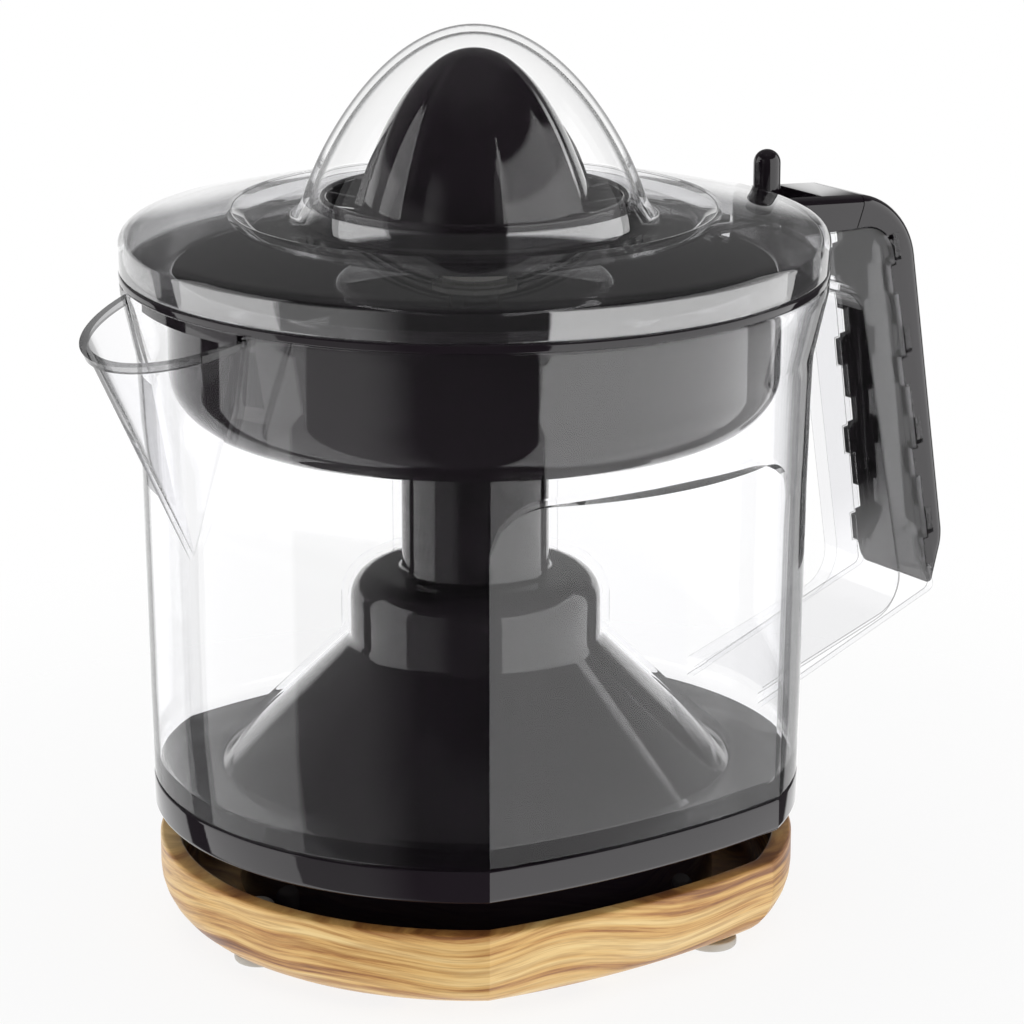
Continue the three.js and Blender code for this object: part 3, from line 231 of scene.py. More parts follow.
def olive_wood():
    """Long dark streaks that wander up and down, with fine fibres that dull and roughen the surface."""
    material, tree, shader = new_material("olive_wood", IOR=1.45, Coat_Weight=0.12, Coat_Roughness=0.3)
    coords = add_node(tree, "ShaderNodeTexCoord").outputs["Object"]
    mapping = add_node(tree, "ShaderNodeMapping", {"Vector": coords, "Location": (-AXIS_X, 0, 0)})
    centred = mapping.outputs["Vector"]
    slow = add_node(tree, "ShaderNodeTexNoise", {"Vector": centred, "Scale": 13.0, "Detail": 1.5})
    drift = add_node(tree, "ShaderNodeMath", {0: slow.outputs["Fac"], 1: 0.024}, operation="MULTIPLY")
    parts = add_node(tree, "ShaderNodeSeparateXYZ", {"Vector": centred})
    lifted = add_node(tree, "ShaderNodeMath", {0: parts.outputs["Z"], 1: drift.outputs[0]}, operation="ADD")
    bent = add_node(tree, "ShaderNodeCombineXYZ",
        {"X": parts.outputs["X"], "Y": parts.outputs["Y"], "Z": lifted.outputs[0]}).outputs["Vector"]
    along = add_node(tree, "ShaderNodeMapping", {"Vector": bent, "Scale": (8.0, 8.0, 210.0)})
    streaks = add_node(tree, "ShaderNodeTexNoise", {"Vector": along.outputs["Vector"],
        "Scale": 1.0, "Detail": 8.0, "Roughness": 0.62, "Distortion": 0.2})
    fibres_at = add_node(tree, "ShaderNodeMapping", {"Vector": bent, "Scale": (40.0, 40.0, 1100.0)})
    fibres = add_node(tree, "ShaderNodeTexNoise", {"Vector": fibres_at.outputs["Vector"],
        "Scale": 1.0, "Detail": 3.0, "Roughness": 0.65}).outputs["Fac"]
    body = colour_stops(tree, streaks.outputs["Fac"], [
        (0.36, (0.130, 0.045, 0.014)), (0.43, (0.275, 0.108, 0.030)), (0.475, (0.520, 0.260, 0.075)),
        (0.53, (0.740, 0.460, 0.160)), (0.64, (0.860, 0.630, 0.290))])
    fibre_shade = colour_stops(tree, fibres, [(0.38, (0.58, 0.47, 0.38)), (0.56, (1.0, 1.0, 1.0))])
    grain = add_node(tree, "ShaderNodeMix",
        {"Factor": 0.65, 6: body, 7: fibre_shade}, data_type="RGBA", blend_type="MULTIPLY")
    tree.links.new(grain.outputs[2], shader.inputs["Base Color"])
    dull = add_node(tree, "ShaderNodeMapRange", {"Value": fibres, "To Min": 0.36, "To Max": 0.52})
    tree.links.new(dull.outputs["Result"], shader.inputs["Roughness"])
    relief = add_node(tree, "ShaderNodeBump", {"Height": fibres, "Strength": 0.12, "Distance": 0.0004})
    tree.links.new(relief.outputs["Normal"], shader.inputs["Normal"])
    return material


WOOD = olive_wood()
wood_ring = draw("foot_ring", [
    (0, WOOD_UNDERSIDE), (WOOD_RADIUS, WOOD_UNDERSIDE, 12), (WOOD_RADIUS, WOOD_TOP, 0.9),
    (WOOD_MOUTH, WOOD_TOP, 0.7), (WOOD_HOLLOW, WOOD_FLOOR, 4), (0, WOOD_FLOOR)], closed=False, segments=8)
turn(PLAN_ARCS)
press_panels(wood_ring, inner_limit=30)
shade(wood_ring, WOOD, angle=16)
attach(wood_ring, "base")
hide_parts("wood_base")

# ----------------------------------------------------------------------
# Three feet. Pale silicone rubber, moulded: a disc under the wood, a thin stem through it and a knob
# above that holds the foot in place. The same silicone makes the bush round the lead's way out.
# ----------------------------------------------------------------------


def surface_marks():
    """Soft blotches and fine wipe marks of a moulded or polished surface, for roughness and height."""
    group = bpy.data.node_groups.new("surface_marks", "ShaderNodeTree")
    group.interface.new_socket("Blotch Scale", in_out="INPUT", socket_type="NodeSocketFloat")
    group.interface.new_socket("Fine Scale", in_out="INPUT", socket_type="NodeSocketFloat")
    group.interface.new_socket("Blotches", in_out="OUTPUT", socket_type="NodeSocketFloat")
    group.interface.new_socket("Fine", in_out="OUTPUT", socket_type="NodeSocketFloat")
    given = add_node(group, "NodeGroupInput")
    coords = add_node(group, "ShaderNodeTexCoord").outputs["Object"]
    blotches = add_node(group, "ShaderNodeTexNoise",
        {"Vector": coords, "Scale": given.outputs["Blotch Scale"], "Detail": 3.0, "Roughness": 0.55})
    fine = add_node(group, "ShaderNodeTexNoise",
        {"Vector": coords, "Scale": given.outputs["Fine Scale"], "Detail": 4.0, "Roughness": 0.7})
    result = add_node(group, "NodeGroupOutput")
    group.links.new(blotches.outputs["Fac"], result.inputs["Blotches"])
    group.links.new(fine.outputs["Fac"], result.inputs["Fine"])
    return group


MARKS = surface_marks()


def marked(tree, shader, blotch_scale, fine_scale, roughness, colours=None, relief=0.0, depth=0.0002):
    """Gives a shader the marks: roughness between two values, an optional colour range and a relief."""
    marks = add_node(tree, "ShaderNodeGroup", node_tree=MARKS)
    marks.inputs["Blotch Scale"].default_value = blotch_scale
    marks.inputs["Fine Scale"].default_value = fine_scale
    rough = add_node(tree, "ShaderNodeMapRange", {"Value": marks.outputs["Blotches"], "From Min": 0.3,
        "From Max": 0.7, "To Min": roughness[0], "To Max": roughness[1]})
    tree.links.new(rough.outputs["Result"], shader.inputs["Roughness"])
    if colours:
        shade_range = colour_stops(tree, marks.outputs["Blotches"], [(0.35, colours[0]), (0.65, colours[1])])
        tree.links.new(shade_range, shader.inputs["Base Color"])
    if relief:
        bump = add_node(tree, "ShaderNodeBump",
            {"Height": marks.outputs["Fine"], "Strength": relief, "Distance": depth})
        tree.links.new(bump.outputs["Normal"], shader.inputs["Normal"])


def finish_of(name, blotch_scale, fine_scale, roughness, colours, relief=0.0, **shader_values):
    """An opaque material with the marks."""
    material, tree, shader = new_material(name, **shader_values)
    marked(tree, shader, blotch_scale, fine_scale, roughness, colours, relief)
    return material


SILICONE = finish_of("pale_silicone", 60, 2500, (0.42, 0.55), ((0.50, 0.47, 0.42), (0.58, 0.55, 0.50)),
    relief=0.15, IOR=1.42)

FOOT_CIRCLE = 62
FOOT_TURNS = [math.pi / 3, math.pi, 5 * math.pi / 3]
FOOT_RADIUS = 6
FOOT_THICKNESS = 2.2
STEM_RADIUS = 3
KNOB_RADIUS = 3.7
KNOB_BOTTOM = 7.8
KNOB_TOP = 14.8
foot_spots = [(FOOT_CIRCLE * math.cos(a), FOOT_CIRCLE * math.sin(a)) for a in FOOT_TURNS]
foot = draw("foot_turned_1", [
    (0, 0), (FOOT_RADIUS, 0, 0.9), (FOOT_RADIUS, FOOT_THICKNESS, 0.4), (STEM_RADIUS, FOOT_THICKNESS),
    (STEM_RADIUS, KNOB_BOTTOM), (KNOB_RADIUS, KNOB_BOTTOM, 0.5), (KNOB_RADIUS, KNOB_TOP, 1.2),
    (0, KNOB_TOP)],
    closed=False, segments=4, about=foot_spots[0])
turn(full_turn(48), foot_spots[0])
shade(foot, SILICONE)
feet = [foot]
for x, y in foot_spots[1:]:
    only(foot)
    bpy.ops.object.duplicate()
    bpy.ops.object.mode_set(mode="EDIT")
    bpy.ops.mesh.select_all(action="SELECT")
    bpy.ops.transform.translate(value=((x - foot_spots[0][0]) * MM, (y - foot_spots[0][1]) * MM, 0))
    bpy.ops.object.mode_set(mode="OBJECT")
    feet.append(bpy.context.object)
for number, foot in enumerate(feet, 1):
    foot.name = f"foot_turned_{number}"
    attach(foot, "base")
    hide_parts(f"foot_{number}")

# ----------------------------------------------------------------------
# Motor base. Glossy black moulding: a skirt and deck under the jug, with a cone, tower and neck that
# stand up inside the jug over the motor, and a plain pan below that closes it. Screwed together.
# ----------------------------------------------------------------------
BLACK = finish_of("gloss_black", 22, 900, (0.012, 0.03),
    ((0.0085, 0.0060, 0.0085), (0.0125, 0.0090, 0.0125)), relief=0.02, IOR=1.5)
BLACK_WALL = 2.2
SKIRT_BOTTOM = 30
SKIRT_INSIDE = 75.3
DECK_TOP = 38
DECK_UNDERSIDE = 35.8
PANELS_FROM = 64
CONE_FOOT = 61
CONE_TOP = 69
TOWER_RADIUS = 29.9
TOWER_INSIDE = 27.7
SHOULDER_TOP = 86
NECK_RADIUS = 17.5
NECK_INSIDE = 15.3
NECK_TOP = 140
NECK_HOLE = 7.3

housing = draw("housing_shell", [
    (SKIRT_INSIDE, SKIRT_BOTTOM, 0.4), (BODY_RADIUS, SKIRT_BOTTOM, 1.4), (BODY_RADIUS, DECK_TOP, 0.6),
    (CONE_FOOT, DECK_TOP, 1.2), (TOWER_RADIUS, CONE_TOP, 3), (TOWER_RADIUS, SHOULDER_TOP, 7),
    (NECK_RADIUS, SHOULDER_TOP, 1.5), (NECK_RADIUS, NECK_TOP, 0.8), (NECK_HOLE, NECK_TOP),
    (NECK_HOLE, NECK_TOP - BLACK_WALL), (NECK_INSIDE, NECK_TOP - BLACK_WALL),
    (NECK_INSIDE, SHOULDER_TOP - BLACK_WALL), (TOWER_INSIDE, SHOULDER_TOP - BLACK_WALL, 5),
    (TOWER_INSIDE, CONE_TOP - 1), (CONE_FOOT - 1.2, DECK_UNDERSIDE), (SKIRT_INSIDE, DECK_UNDERSIDE, 1)])
turn(PLAN_ARCS)
press_panels(housing, inner_limit=PANELS_FROM)
shade(housing, BLACK, angle=16)
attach(housing, "base")
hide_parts("motor_housing")

PAN_RADIUS = 57.5
PAN_INSIDE = 55.3
PAN_BOTTOM = 7.8
PAN_FLOOR = 10.3
PAN_TOP = 35.5
pan = draw("bottom_pan", [
    (0, PAN_BOTTOM), (PAN_RADIUS, PAN_BOTTOM, 2), (PAN_RADIUS, PAN_TOP), (PAN_INSIDE, PAN_TOP),
    (PAN_INSIDE, PAN_FLOOR), (0, PAN_FLOOR)], closed=False)
turn(full_turn(128))
shade(pan, BLACK)
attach(pan, "base")
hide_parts("base_pan")

# ----------------------------------------------------------------------
# Inside the base. A small brushed motor in a steel can, two stages of nylon gears on a steel plate, a
# return spring under the drive shaft and a start switch. Their solids are right as they are.
# ----------------------------------------------------------------------
STEEL = finish_of("plain_steel", 90, 3000, (0.22, 0.38), ((0.55, 0.55, 0.56), (0.68, 0.68, 0.69)),
    relief=0.05, Metallic=1.0)
BRASS = finish_of("cut_brass", 120, 3200, (0.25, 0.4), ((0.66, 0.47, 0.18), (0.80, 0.60, 0.28)),
    relief=0.05, Metallic=1.0)
WINDINGS = finish_of("copper_windings", 150, 2600, (0.3, 0.5), ((0.45, 0.20, 0.10), (0.62, 0.32, 0.18)),
    relief=0.3, Metallic=1.0)
NYLON = finish_of("natural_nylon", 50, 1800, (0.38, 0.5), ((0.76, 0.73, 0.66), (0.84, 0.82, 0.76)),
    relief=0.08, IOR=1.53)
INNER_FINISH = {
    "steel": STEEL,
    "brass": BRASS,
    "copper": WINDINGS,
    "nylon": NYLON,
    "rubber": SILICONE,
    "black": BLACK,
}
REPLACED = {
    "wood_base", "foot_1", "foot_2", "foot_3", "motor_housing", "base_pan", "jug", "handle_grip",
    "handle_cap", "juice_bowl", "pulp_ring", "pulp_lever", "reamer", "lid"}
for subpart in frame["record"]["subparts"]:
    if subpart["node"] in REPLACED:
        continue
    solid = bpy.data.objects[subpart["node"]]
    solid.data.materials.clear()
    solid.data.materials.append(INNER_FINISH[subpart["material_slot"]])

# ----------------------------------------------------------------------
# Jug. One clear moulding: a round wall with two side panels pressed in, a raised cover over the motor's
# cone and neck, a cone-shaped spout with a beaded lip, and the channel that the black grip closes.
# ----------------------------------------------------------------------
JUG_BOTTOM = 38.3
JUG_TOP = 158
JUG_WALL = 1.3
PANEL_TOP = 122.3
PANEL_ROUND = 12
PANEL_BULGE = 1.0
PANEL_FADE = 14
PANEL_ROWS = (95.0, 139.0)
WALL_MIDDLE = 76.85
WALL_LEAN = 0.0165
RIM_RADIUS = 82.8
RIM_INSIDE = 81.5
RIM_FOOT = 155.6
FLARE_HEIGHT = 140
LEDGE_HALF = 0.35
SPOUT_RADIUS = 26.4
SPOUT_DEPTH = 59
SPOUT_FALL = 0.31
SPOUT_AXIS = (-BODY_RADIUS, 0)
LIP_DEPTH = 1.8
LIP_BEAD = 1.0
WELD = 0.6
CUTTER_STEPS = 144


def clear_plastic(name, gloss, edge_shade_stops, coat_index=1.49, index=1.012):
    """Thin clear walls: they mirror like plastic and hardly bend what lies behind; their colour is painted
    darker as they turn edge-on, a painted shade for the dark edges that bent light would give.
    """
    material, tree, shader = new_material(name, IOR=index, Transmission_Weight=1.0,
        Coat_Weight=gloss, Coat_IOR=coat_index, Coat_Roughness=0.006)
    true_normal = add_node(tree, "ShaderNodeNewGeometry").outputs["True Normal"]
    facing = add_node(tree, "ShaderNodeLayerWeight", {"Blend": 0.5, "Normal": true_normal}).outputs["Facing"]
    marked(tree, shader, 18, 700, (0.0, 0.003))
    # Painted shade: the colour darkens as the wall turns edge-on, between the stops given.
    painted_edge_shade = [(at, (grey, grey, grey * 1.01)) for at, grey in edge_shade_stops]
    tree.links.new(colour_stops(tree, facing, painted_edge_shade), shader.inputs["Base Color"])
    return material


# Painted shade in every clear finish: each darkens at its edges by its own stops. The edge, lip, handle, ledge
# and handle-root finishes are painted darkest, as painted dark lines and bands.
CLEAR = clear_plastic("clear_plastic", 0.6,
    [(0.0, 1.0), (0.70, 0.99), (0.79, 0.92), (0.82, 0.30), (1.0, 0.26)])
CLEAR_INSIDE = clear_plastic("clear_plastic_inside", 0.6, [(0.0, 1.0), (0.8, 0.99), (0.9, 0.8), (1.0, 0.6)])
CLEAR_COVER = clear_plastic("clear_plastic_cover", 0.0, [(0.0, 1.0), (0.8, 1.0), (1.0, 0.94)], index=1.001)
CLEAR_EDGE_SHADE = clear_plastic("clear_plastic_painted_edge_shade", 0.6, [(0.0, 0.30), (0.5, 0.16), (1.0, 0.05)])
CLEAR_SPOUT = clear_plastic("clear_plastic_spout", 0.15,
    [(0.0, 1.0), (0.58, 0.98), (0.67, 0.74), (0.72, 0.33), (1.0, 0.24)])
CLEAR_LIP_SHADE = clear_plastic("clear_plastic_lip_painted_shade", 1.0, [(0.0, 0.40), (0.5, 0.22), (0.8, 0.10), (1.0, 0.06)])
CLEAR_HANDLE_SHADE = clear_plastic("clear_plastic_handle_painted_shade", 0.6,
    [(0.0, 1.0), (0.6, 0.96), (0.78, 0.7), (0.86, 0.22), (1.0, 0.12)])
CLEAR_LEDGE_SHADE = clear_plastic("clear_plastic_ledge_painted_shade", 0.3,
    [(0.0, 0.8), (0.5, 0.3), (0.64, 0.004), (1.0, 0.003)])
# Painted shade beside the handle's root, where the handle's shadow and dark reflection fall on the wall.
CLEAR_ROOT_SHADE = clear_plastic("clear_plastic_root_painted_shade", 0.6,
    [(0.0, 1.0), (0.62, 0.96), (0.70, 0.62), (0.8, 0.3), (1.0, 0.2)])


def combine(piece, tool, operation):
    """Joins a tool to a piece, or cuts it out of the piece, and removes the tool."""
    only(piece)
    change = piece.modifiers.new("combine", "BOOLEAN")
    change.operation = operation
    change.solver = "EXACT"
    change.object = tool
    bpy.ops.object.modifier_apply(modifier=change.name)
    bpy.data.objects.remove(tool, do_unlink=True)


def round_edges(piece, width, segments, angle):
    """Rounds the edges sharper than an angle in degrees."""
    only(piece)
    change = piece.modifiers.new("round", "BEVEL")
    change.width = width * MM
    change.segments = segments
    change.limit_method = "ANGLE"
    change.angle_limit = math.radians(angle)
    bpy.ops.object.modifier_apply(modifier=change.name)


def panel_edge(x):
    """Height of a side panel's upper edge, which turns down at its two rounded corners."""
    past = max(0.0, abs(x) - (PANEL_HALF - PANEL_ROUND))
    return PANEL_TOP - PANEL_ROUND + math.sqrt(max(0.0, PANEL_ROUND ** 2 - past ** 2))


def press_jug_panels(piece, inner_limit):
    """Presses the panels into the jug's wall below their upper edge; the rows nearby follow that edge."""
    rows_from, rows_to = PANEL_ROWS
    for point in piece.data.vertices:
        x, y, z = (point.co.x - AXIS_X) / MM, point.co.y / MM, point.co.z / MM
        radius = math.hypot(x, y)
        if radius < inner_limit:
            continue
        at_panel = abs(x) / radius * BODY_RADIUS
        turned = math.asin(min(1.0, at_panel / BODY_RADIUS)) - math.asin(PANEL_HALF / BODY_RADIUS)
        beyond = math.degrees(turned)
        edge = panel_edge(min(at_panel, PANEL_HALF))
        if beyond > 0:
            edge = PANEL_TOP + (edge - PANEL_TOP) * max(0.0, 1 - beyond / PANEL_FADE)
        outside = radius > WALL_MIDDLE + (z - JUG_BOTTOM) * WALL_LEAN
        nominal = PANEL_TOP if outside else PANEL_TOP + JUG_WALL
        edge += nominal - PANEL_TOP
        below = z < nominal
        if rows_from < z < nominal:
            z = rows_from + (z - rows_from) * (edge - rows_from) / (nominal - rows_from)
        elif nominal <= z < rows_to:
            z = rows_to - (rows_to - z) * (rows_to - edge) / (rows_to - nominal)
        share = panel_share(x, y) if below else 1.0
        if share < 1:
            bulge = PANEL_BULGE * (1 - min(1.0, at_panel / PANEL_HALF) ** 2)
            share += bulge * (z - JUG_BOTTOM) / (PANEL_TOP - JUG_BOTTOM) / radius
        point.co = place(x * share, z, y * share)


COVER_RADIUS = 32
COVER_INSIDE = 30.4
COVER_SHOULDER = 88.1
COVER_NECK = 19.6
COVER_NECK_INSIDE = 18
COVER_NECK_TOP = 145.5
COVER_WALL = 1.6
COVER_END = 62
JUG_FLOOR = 41
inner_ledge = PANEL_TOP + JUG_WALL
inner_wall = [
    (RIM_INSIDE, JUG_TOP, 0.5), (RIM_INSIDE, RIM_FOOT, 6), (78.1, FLARE_HEIGHT, 20), (77.7, inner_ledge + 6),
    (77.6, inner_ledge + LEDGE_HALF), (77.6, inner_ledge - LEDGE_HALF), (77.3, 112), (76.6, 60),
    (76.3, JUG_FLOOR, 3)]
cover_outside = [
    (60.96, JUG_FLOOR, 2), (COVER_RADIUS, 69.87, 3), (COVER_RADIUS, COVER_SHOULDER, 8),
    (COVER_NECK, COVER_SHOULDER, 2), (COVER_NECK, COVER_NECK_TOP, 0.6)]
cover_underside = [
    (COVER_NECK_INSIDE, COVER_NECK_TOP, 0.4), (COVER_NECK_INSIDE, COVER_SHOULDER - COVER_WALL, 1.5),
    (COVER_INSIDE, COVER_SHOULDER - COVER_WALL, 7), (COVER_INSIDE, 69.21, 3), (61.4, JUG_BOTTOM)]
outer_wall = [
    (BODY_RADIUS, JUG_BOTTOM, 0.7), (77.9, 60), (78.6, 112), (78.85, PANEL_TOP - LEDGE_HALF),
    (78.87, PANEL_TOP + LEDGE_HALF), (79.0, PANEL_TOP + 7), (79.4, FLARE_HEIGHT, 20),
    (RIM_RADIUS, RIM_FOOT, 6), (RIM_RADIUS, JUG_TOP, 0.6)]
jug = draw("jug_clear", inner_wall + cover_outside + cover_underside + outer_wall, segments=5)
turn(PLAN_ARCS)
press_jug_panels(jug, inner_limit=PANELS_FROM)


def solid_cone(name, growth, lip_depth=None):
    """The spout's cone, grown by a little and cut between its lip's sloping plane and a depth below it."""
    top = JUG_TOP + 12
    radius_at_top = SPOUT_RADIUS + growth
    apex = JUG_TOP - radius_at_top * SPOUT_DEPTH / SPOUT_RADIUS
    slope = SPOUT_RADIUS / SPOUT_DEPTH
    cone = draw(name, [(0, apex), ((top - apex) * slope, top), (0, top)], closed=False, about=SPOUT_AXIS)
    turn(full_turn(CUTTER_STEPS), SPOUT_AXIS)
    if lip_depth is None:
        return cone
    bpy.ops.object.mode_set(mode="EDIT")
    upwards = Vector((-SPOUT_FALL, 0, 1)).normalized()
    for height, normal in ((0, upwards), (-lip_depth, -upwards)):
        bpy.ops.mesh.select_all(action="SELECT")
        on_plane = place(-BODY_RADIUS, JUG_TOP) + upwards * height * MM
        bpy.ops.mesh.bisect(plane_co=on_plane, plane_no=normal, use_fill=True, clear_outer=True)
    tidy_mesh()
    return cone


def inside_volume(growth):
    """The room inside the jug's wall, as a solid, grown by a little."""
    room = draw("room", [
        (0, 20), (76.6 + growth, 20), (76.6 + growth, 60), (78.1 + growth, FLARE_HEIGHT, 20),
        (RIM_INSIDE + growth, 156), (RIM_INSIDE + growth, 180), (0, 180)], closed=False)
    turn(full_turn(CUTTER_STEPS))
    return room


spout = solid_cone("spout", 0, 2 * SPOUT_DEPTH)
combine(spout, solid_cone("spout_lip", LIP_BEAD, LIP_DEPTH), "UNION")
combine(spout, inside_volume(WELD), "DIFFERENCE")
combine(jug, spout, "UNION")
combine(jug, solid_cone("pouring_way", -JUG_WALL), "DIFFERENCE")

# The handle's channel: its web faces the hand, and its two side walls point outwards to the black grip.
CAP_TOP = 167
HANDLE_WALL = 2.2
HANDLE_WIDTH_BELOW = 31
HANDLE_WIDTH_ABOVE = 24
HANDLE_ROOT = 72.5
SEAM_TOP = 157.3
hand_side = [(HANDLE_ROOT, 142.6), (106.5, 142.6, 9), (121.2, 60, 9), (HANDLE_ROOT, 44)]
seam_side = [(HANDLE_ROOT, 38.9), (131.7, 61.3, 2), (116.4, SEAM_TOP, 9), (HANDLE_ROOT, SEAM_TOP)]


def handle_half_width(height):
    """The handle grows wider downwards."""
    change = HANDLE_WIDTH_ABOVE - HANDLE_WIDTH_BELOW
    return (HANDLE_WIDTH_BELOW + change * (height - JUG_BOTTOM) / (CAP_TOP - JUG_BOTTOM)) / 2


def set_in(path, distance):
    """A path moved sideways to its left, with mitred corners and its roundings kept parallel."""
    def normal(a, b):
        return Vector((a[1] - b[1], b[0] - a[0])).normalized()
    moved = []
    for i, corner in enumerate(path):
        before = normal(path[i - 1], corner) if i > 0 else normal(corner, path[i + 1])
        after = normal(corner, path[i + 1]) if i < len(path) - 1 else before
        turning = before.cross(after)
        middle = (before + after) / 2
        middle *= distance / middle.length_squared
        shifted = (corner[0] + middle.x, corner[1] + middle.y)
        if len(corner) > 2:
            shifted += (max(corner[2] - math.copysign(distance, turning * distance), 0.3),)
        moved.append(shifted)
    return moved


def extend_across(inset, edge=0.0, segments=4, width=None):
    """Fills the outline in edit mode and extends it to the handle's width at each height, less an inset."""
    bpy.ops.mesh.select_all(action="SELECT")
    bpy.ops.mesh.edge_face_add()
    bpy.ops.mesh.extrude_region_move(TRANSFORM_OT_translate={"value": (0, MM, 0)})
    mesh = bmesh.from_edit_mesh(bpy.context.object.data)
    for point in mesh.verts:
        half = width / 2 if width else handle_half_width(point.co.z / MM) - inset
        point.co.y = math.copysign(half * MM, point.co.y - MM / 2)
    bmesh.update_edit_mesh(bpy.context.object.data)
    tidy_mesh()
    if edge:
        round_edges(bpy.context.object, edge, segments, angle=50)


def slab(name, corners, inset=0.0, edge=0.0, segments=4, width=None, corner_segments=8):
    """A solid with an outline as seen from the side, as wide as the handle or of a width of its own."""
    piece = draw(name, corners, segments=corner_segments)
    extend_across(inset, edge, segments, width)
    return piece


TAB_COUNT = 4
TAB_LENGTH = 7
TAB_DEPTH = 1.2
TAB_PLAY = 0.3
FIRST_TAB = 0.42
seam_low, seam_high = Vector(seam_side[1][:2]), Vector(seam_side[2][:2])
seam_along = (seam_high - seam_low).normalized()
seam_inwards = Vector((-seam_along.y, seam_along.x))


def along_seam(index, shift, length, start, end):
    """A rectangle at one of the even steps along the seam, from one distance inside it to another."""
    middle = seam_low.lerp(seam_high, (index + FIRST_TAB) / TAB_COUNT) + seam_along * shift
    ends = ((-length / 2, start), (length / 2, start), (length / 2, end), (-length / 2, end))
    return [tuple(middle + seam_along * u + seam_inwards * v) for u, v in ends]


channel = slab("channel", hand_side + seam_side)
far_round = [(HANDLE_ROOT, 20), (160, 20), (160, 180), (HANDLE_ROOT, 180)]
channel_hollow = slab("channel_hollow", set_in(hand_side, HANDLE_WALL) + far_round, inset=HANDLE_WALL)
combine(channel, channel_hollow, "DIFFERENCE")
for step in range(TAB_COUNT):
    hole = along_seam(step, 0, TAB_LENGTH + 2 * TAB_PLAY, -1, TAB_DEPTH + TAB_PLAY)
    combine(channel, slab("tab_hole", hole, inset=-1), "DIFFERENCE")
combine(channel, inside_volume(WELD), "DIFFERENCE")
round_edges(channel, width=0.5, segments=2, angle=50)
combine(jug, channel, "UNION")
shade(jug, CLEAR, angle=16)


def add_finishes(piece, *finishes):
    """Gives a piece more finishes after its main one, and tells the number of each for its faces."""
    for finish in finishes:
        piece.data.materials.append(finish)
    return range(1, len(finishes) + 1)


INSIDE, SPOUT, LIP_SHADE, HANDLE_SHADE, LEDGE_SHADE, COVER, ROOT_SHADE, EDGE = add_finishes(jug,
    CLEAR_INSIDE, CLEAR_SPOUT, CLEAR_LIP_SHADE, CLEAR_HANDLE_SHADE, CLEAR_LEDGE_SHADE, CLEAR_COVER, CLEAR_ROOT_SHADE, CLEAR_EDGE_SHADE)
lip_up = Vector((-SPOUT_FALL, 0, 1)).normalized()
lip_middle = place(-BODY_RADIUS, JUG_TOP)


def jug_finish(face):
    """Picks the finish of one of the jug's faces from where it lies and faces; 0 is the main one. The lip,
    edge-on handle, handle, ledge and handle-root finishes carry darker painted shade.
    """
    spot = face.center
    outwards = spot - place(0, spot.z / MM)
    reach = outwards.length / MM
    height, across = spot.z / MM, abs(spot.y) / MM
    by_spout = spot.x < AXIS_X and across < 27.5 and height > 97
    # Painted shade: the spout's lip is painted dark grey.
    if by_spout and reach > 77.9 + max(0.0, height - 130) * 0.17:
        above_lip = (spot - lip_middle).dot(lip_up) / MM > -1.95
        return LIP_SHADE if above_lip else SPOUT
    on_handle = spot.x > AXIS_X and across < 17 and reach > 80
    if on_handle:
        # Painted shade: handle faces seen edge-on get the dark edge finish, the rest the darker handle finish.
        seen_edge_on = 0.25 < abs(face.normal.y) < 0.95
        return EDGE if seen_edge_on else HANDLE_SHADE
    if reach < COVER_END:
        return COVER
    if by_spout and face.area < 4e-6 and abs(face.normal.z) < 0.9:
        return INSIDE
    # Painted shade: the underside of the panels' ledge is painted nearly black.
    on_ledge = 68 < reach < 79.3 and 100 < height < 127 and abs(face.normal.z) > 0.6
    if on_ledge:
        return LEDGE_SHADE if face.normal.z < 0 else COVER
    # Painted shade: the wall beside the handle's root gets a darker-edged finish for the handle's shadow and
    # reflection.
    at_handle_root = reach > 76 and outwards.x > 40 * MM and across > 16
    if at_handle_root:
        return ROOT_SHADE
    return INSIDE if face.normal.dot(outwards) < 0 else 0


for face in jug.data.polygons:
    face.material_index = jug_finish(face)
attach(jug, "jug")
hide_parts("jug")

# ----------------------------------------------------------------------
# Grip and cap of the handle. Two glossy black mouldings that close the clear channel: the grip down the
# outer side, clipped in by tabs along both seams, and the cap over the upper arm, behind the lid.
# ----------------------------------------------------------------------
CAP_START = 84.3
SEAM_GAP = 0.3
SHELL_LOW = 61.3
PARTING = 157.7
CAP_NOTCH_END = 97
CAP_NOTCH_WIDTH = 18
OVER_ALL = 80
black_outside = [(132.0, 61.0), (135.8, 74.3, 12), (123.6, 164.1, 19), (CAP_START, CAP_TOP)]


def black_shell(name):
    """Both black parts as one shell, before they are parted."""
    shell = slab(name, black_outside + [(CAP_START, SHELL_LOW)], edge=3.0, segments=6, corner_segments=14)
    inner = set_in(black_outside, BLACK_WALL)
    inner[-1] = (inner[-1][0] + BLACK_WALL, inner[-1][1])
    hollow = slab("shell_hollow", inner + [(inner[-1][0], SHELL_LOW)],
        inset=BLACK_WALL, edge=1.0, segments=3, corner_segments=10)
    combine(shell, hollow, "DIFFERENCE")
    combine(shell, slab("shell_opening", set_in(seam_side, -SEAM_GAP), width=OVER_ALL), "DIFFERENCE")
    return shell


def cap_region(name, growth):
    """The room above the line that parts the cap from the grip, which slants outwards."""
    start, end = 105.6 + growth, 110.6 + growth
    return slab(name, [(0, PARTING), (start, PARTING), (end, 170), (0, 170)], width=OVER_ALL)


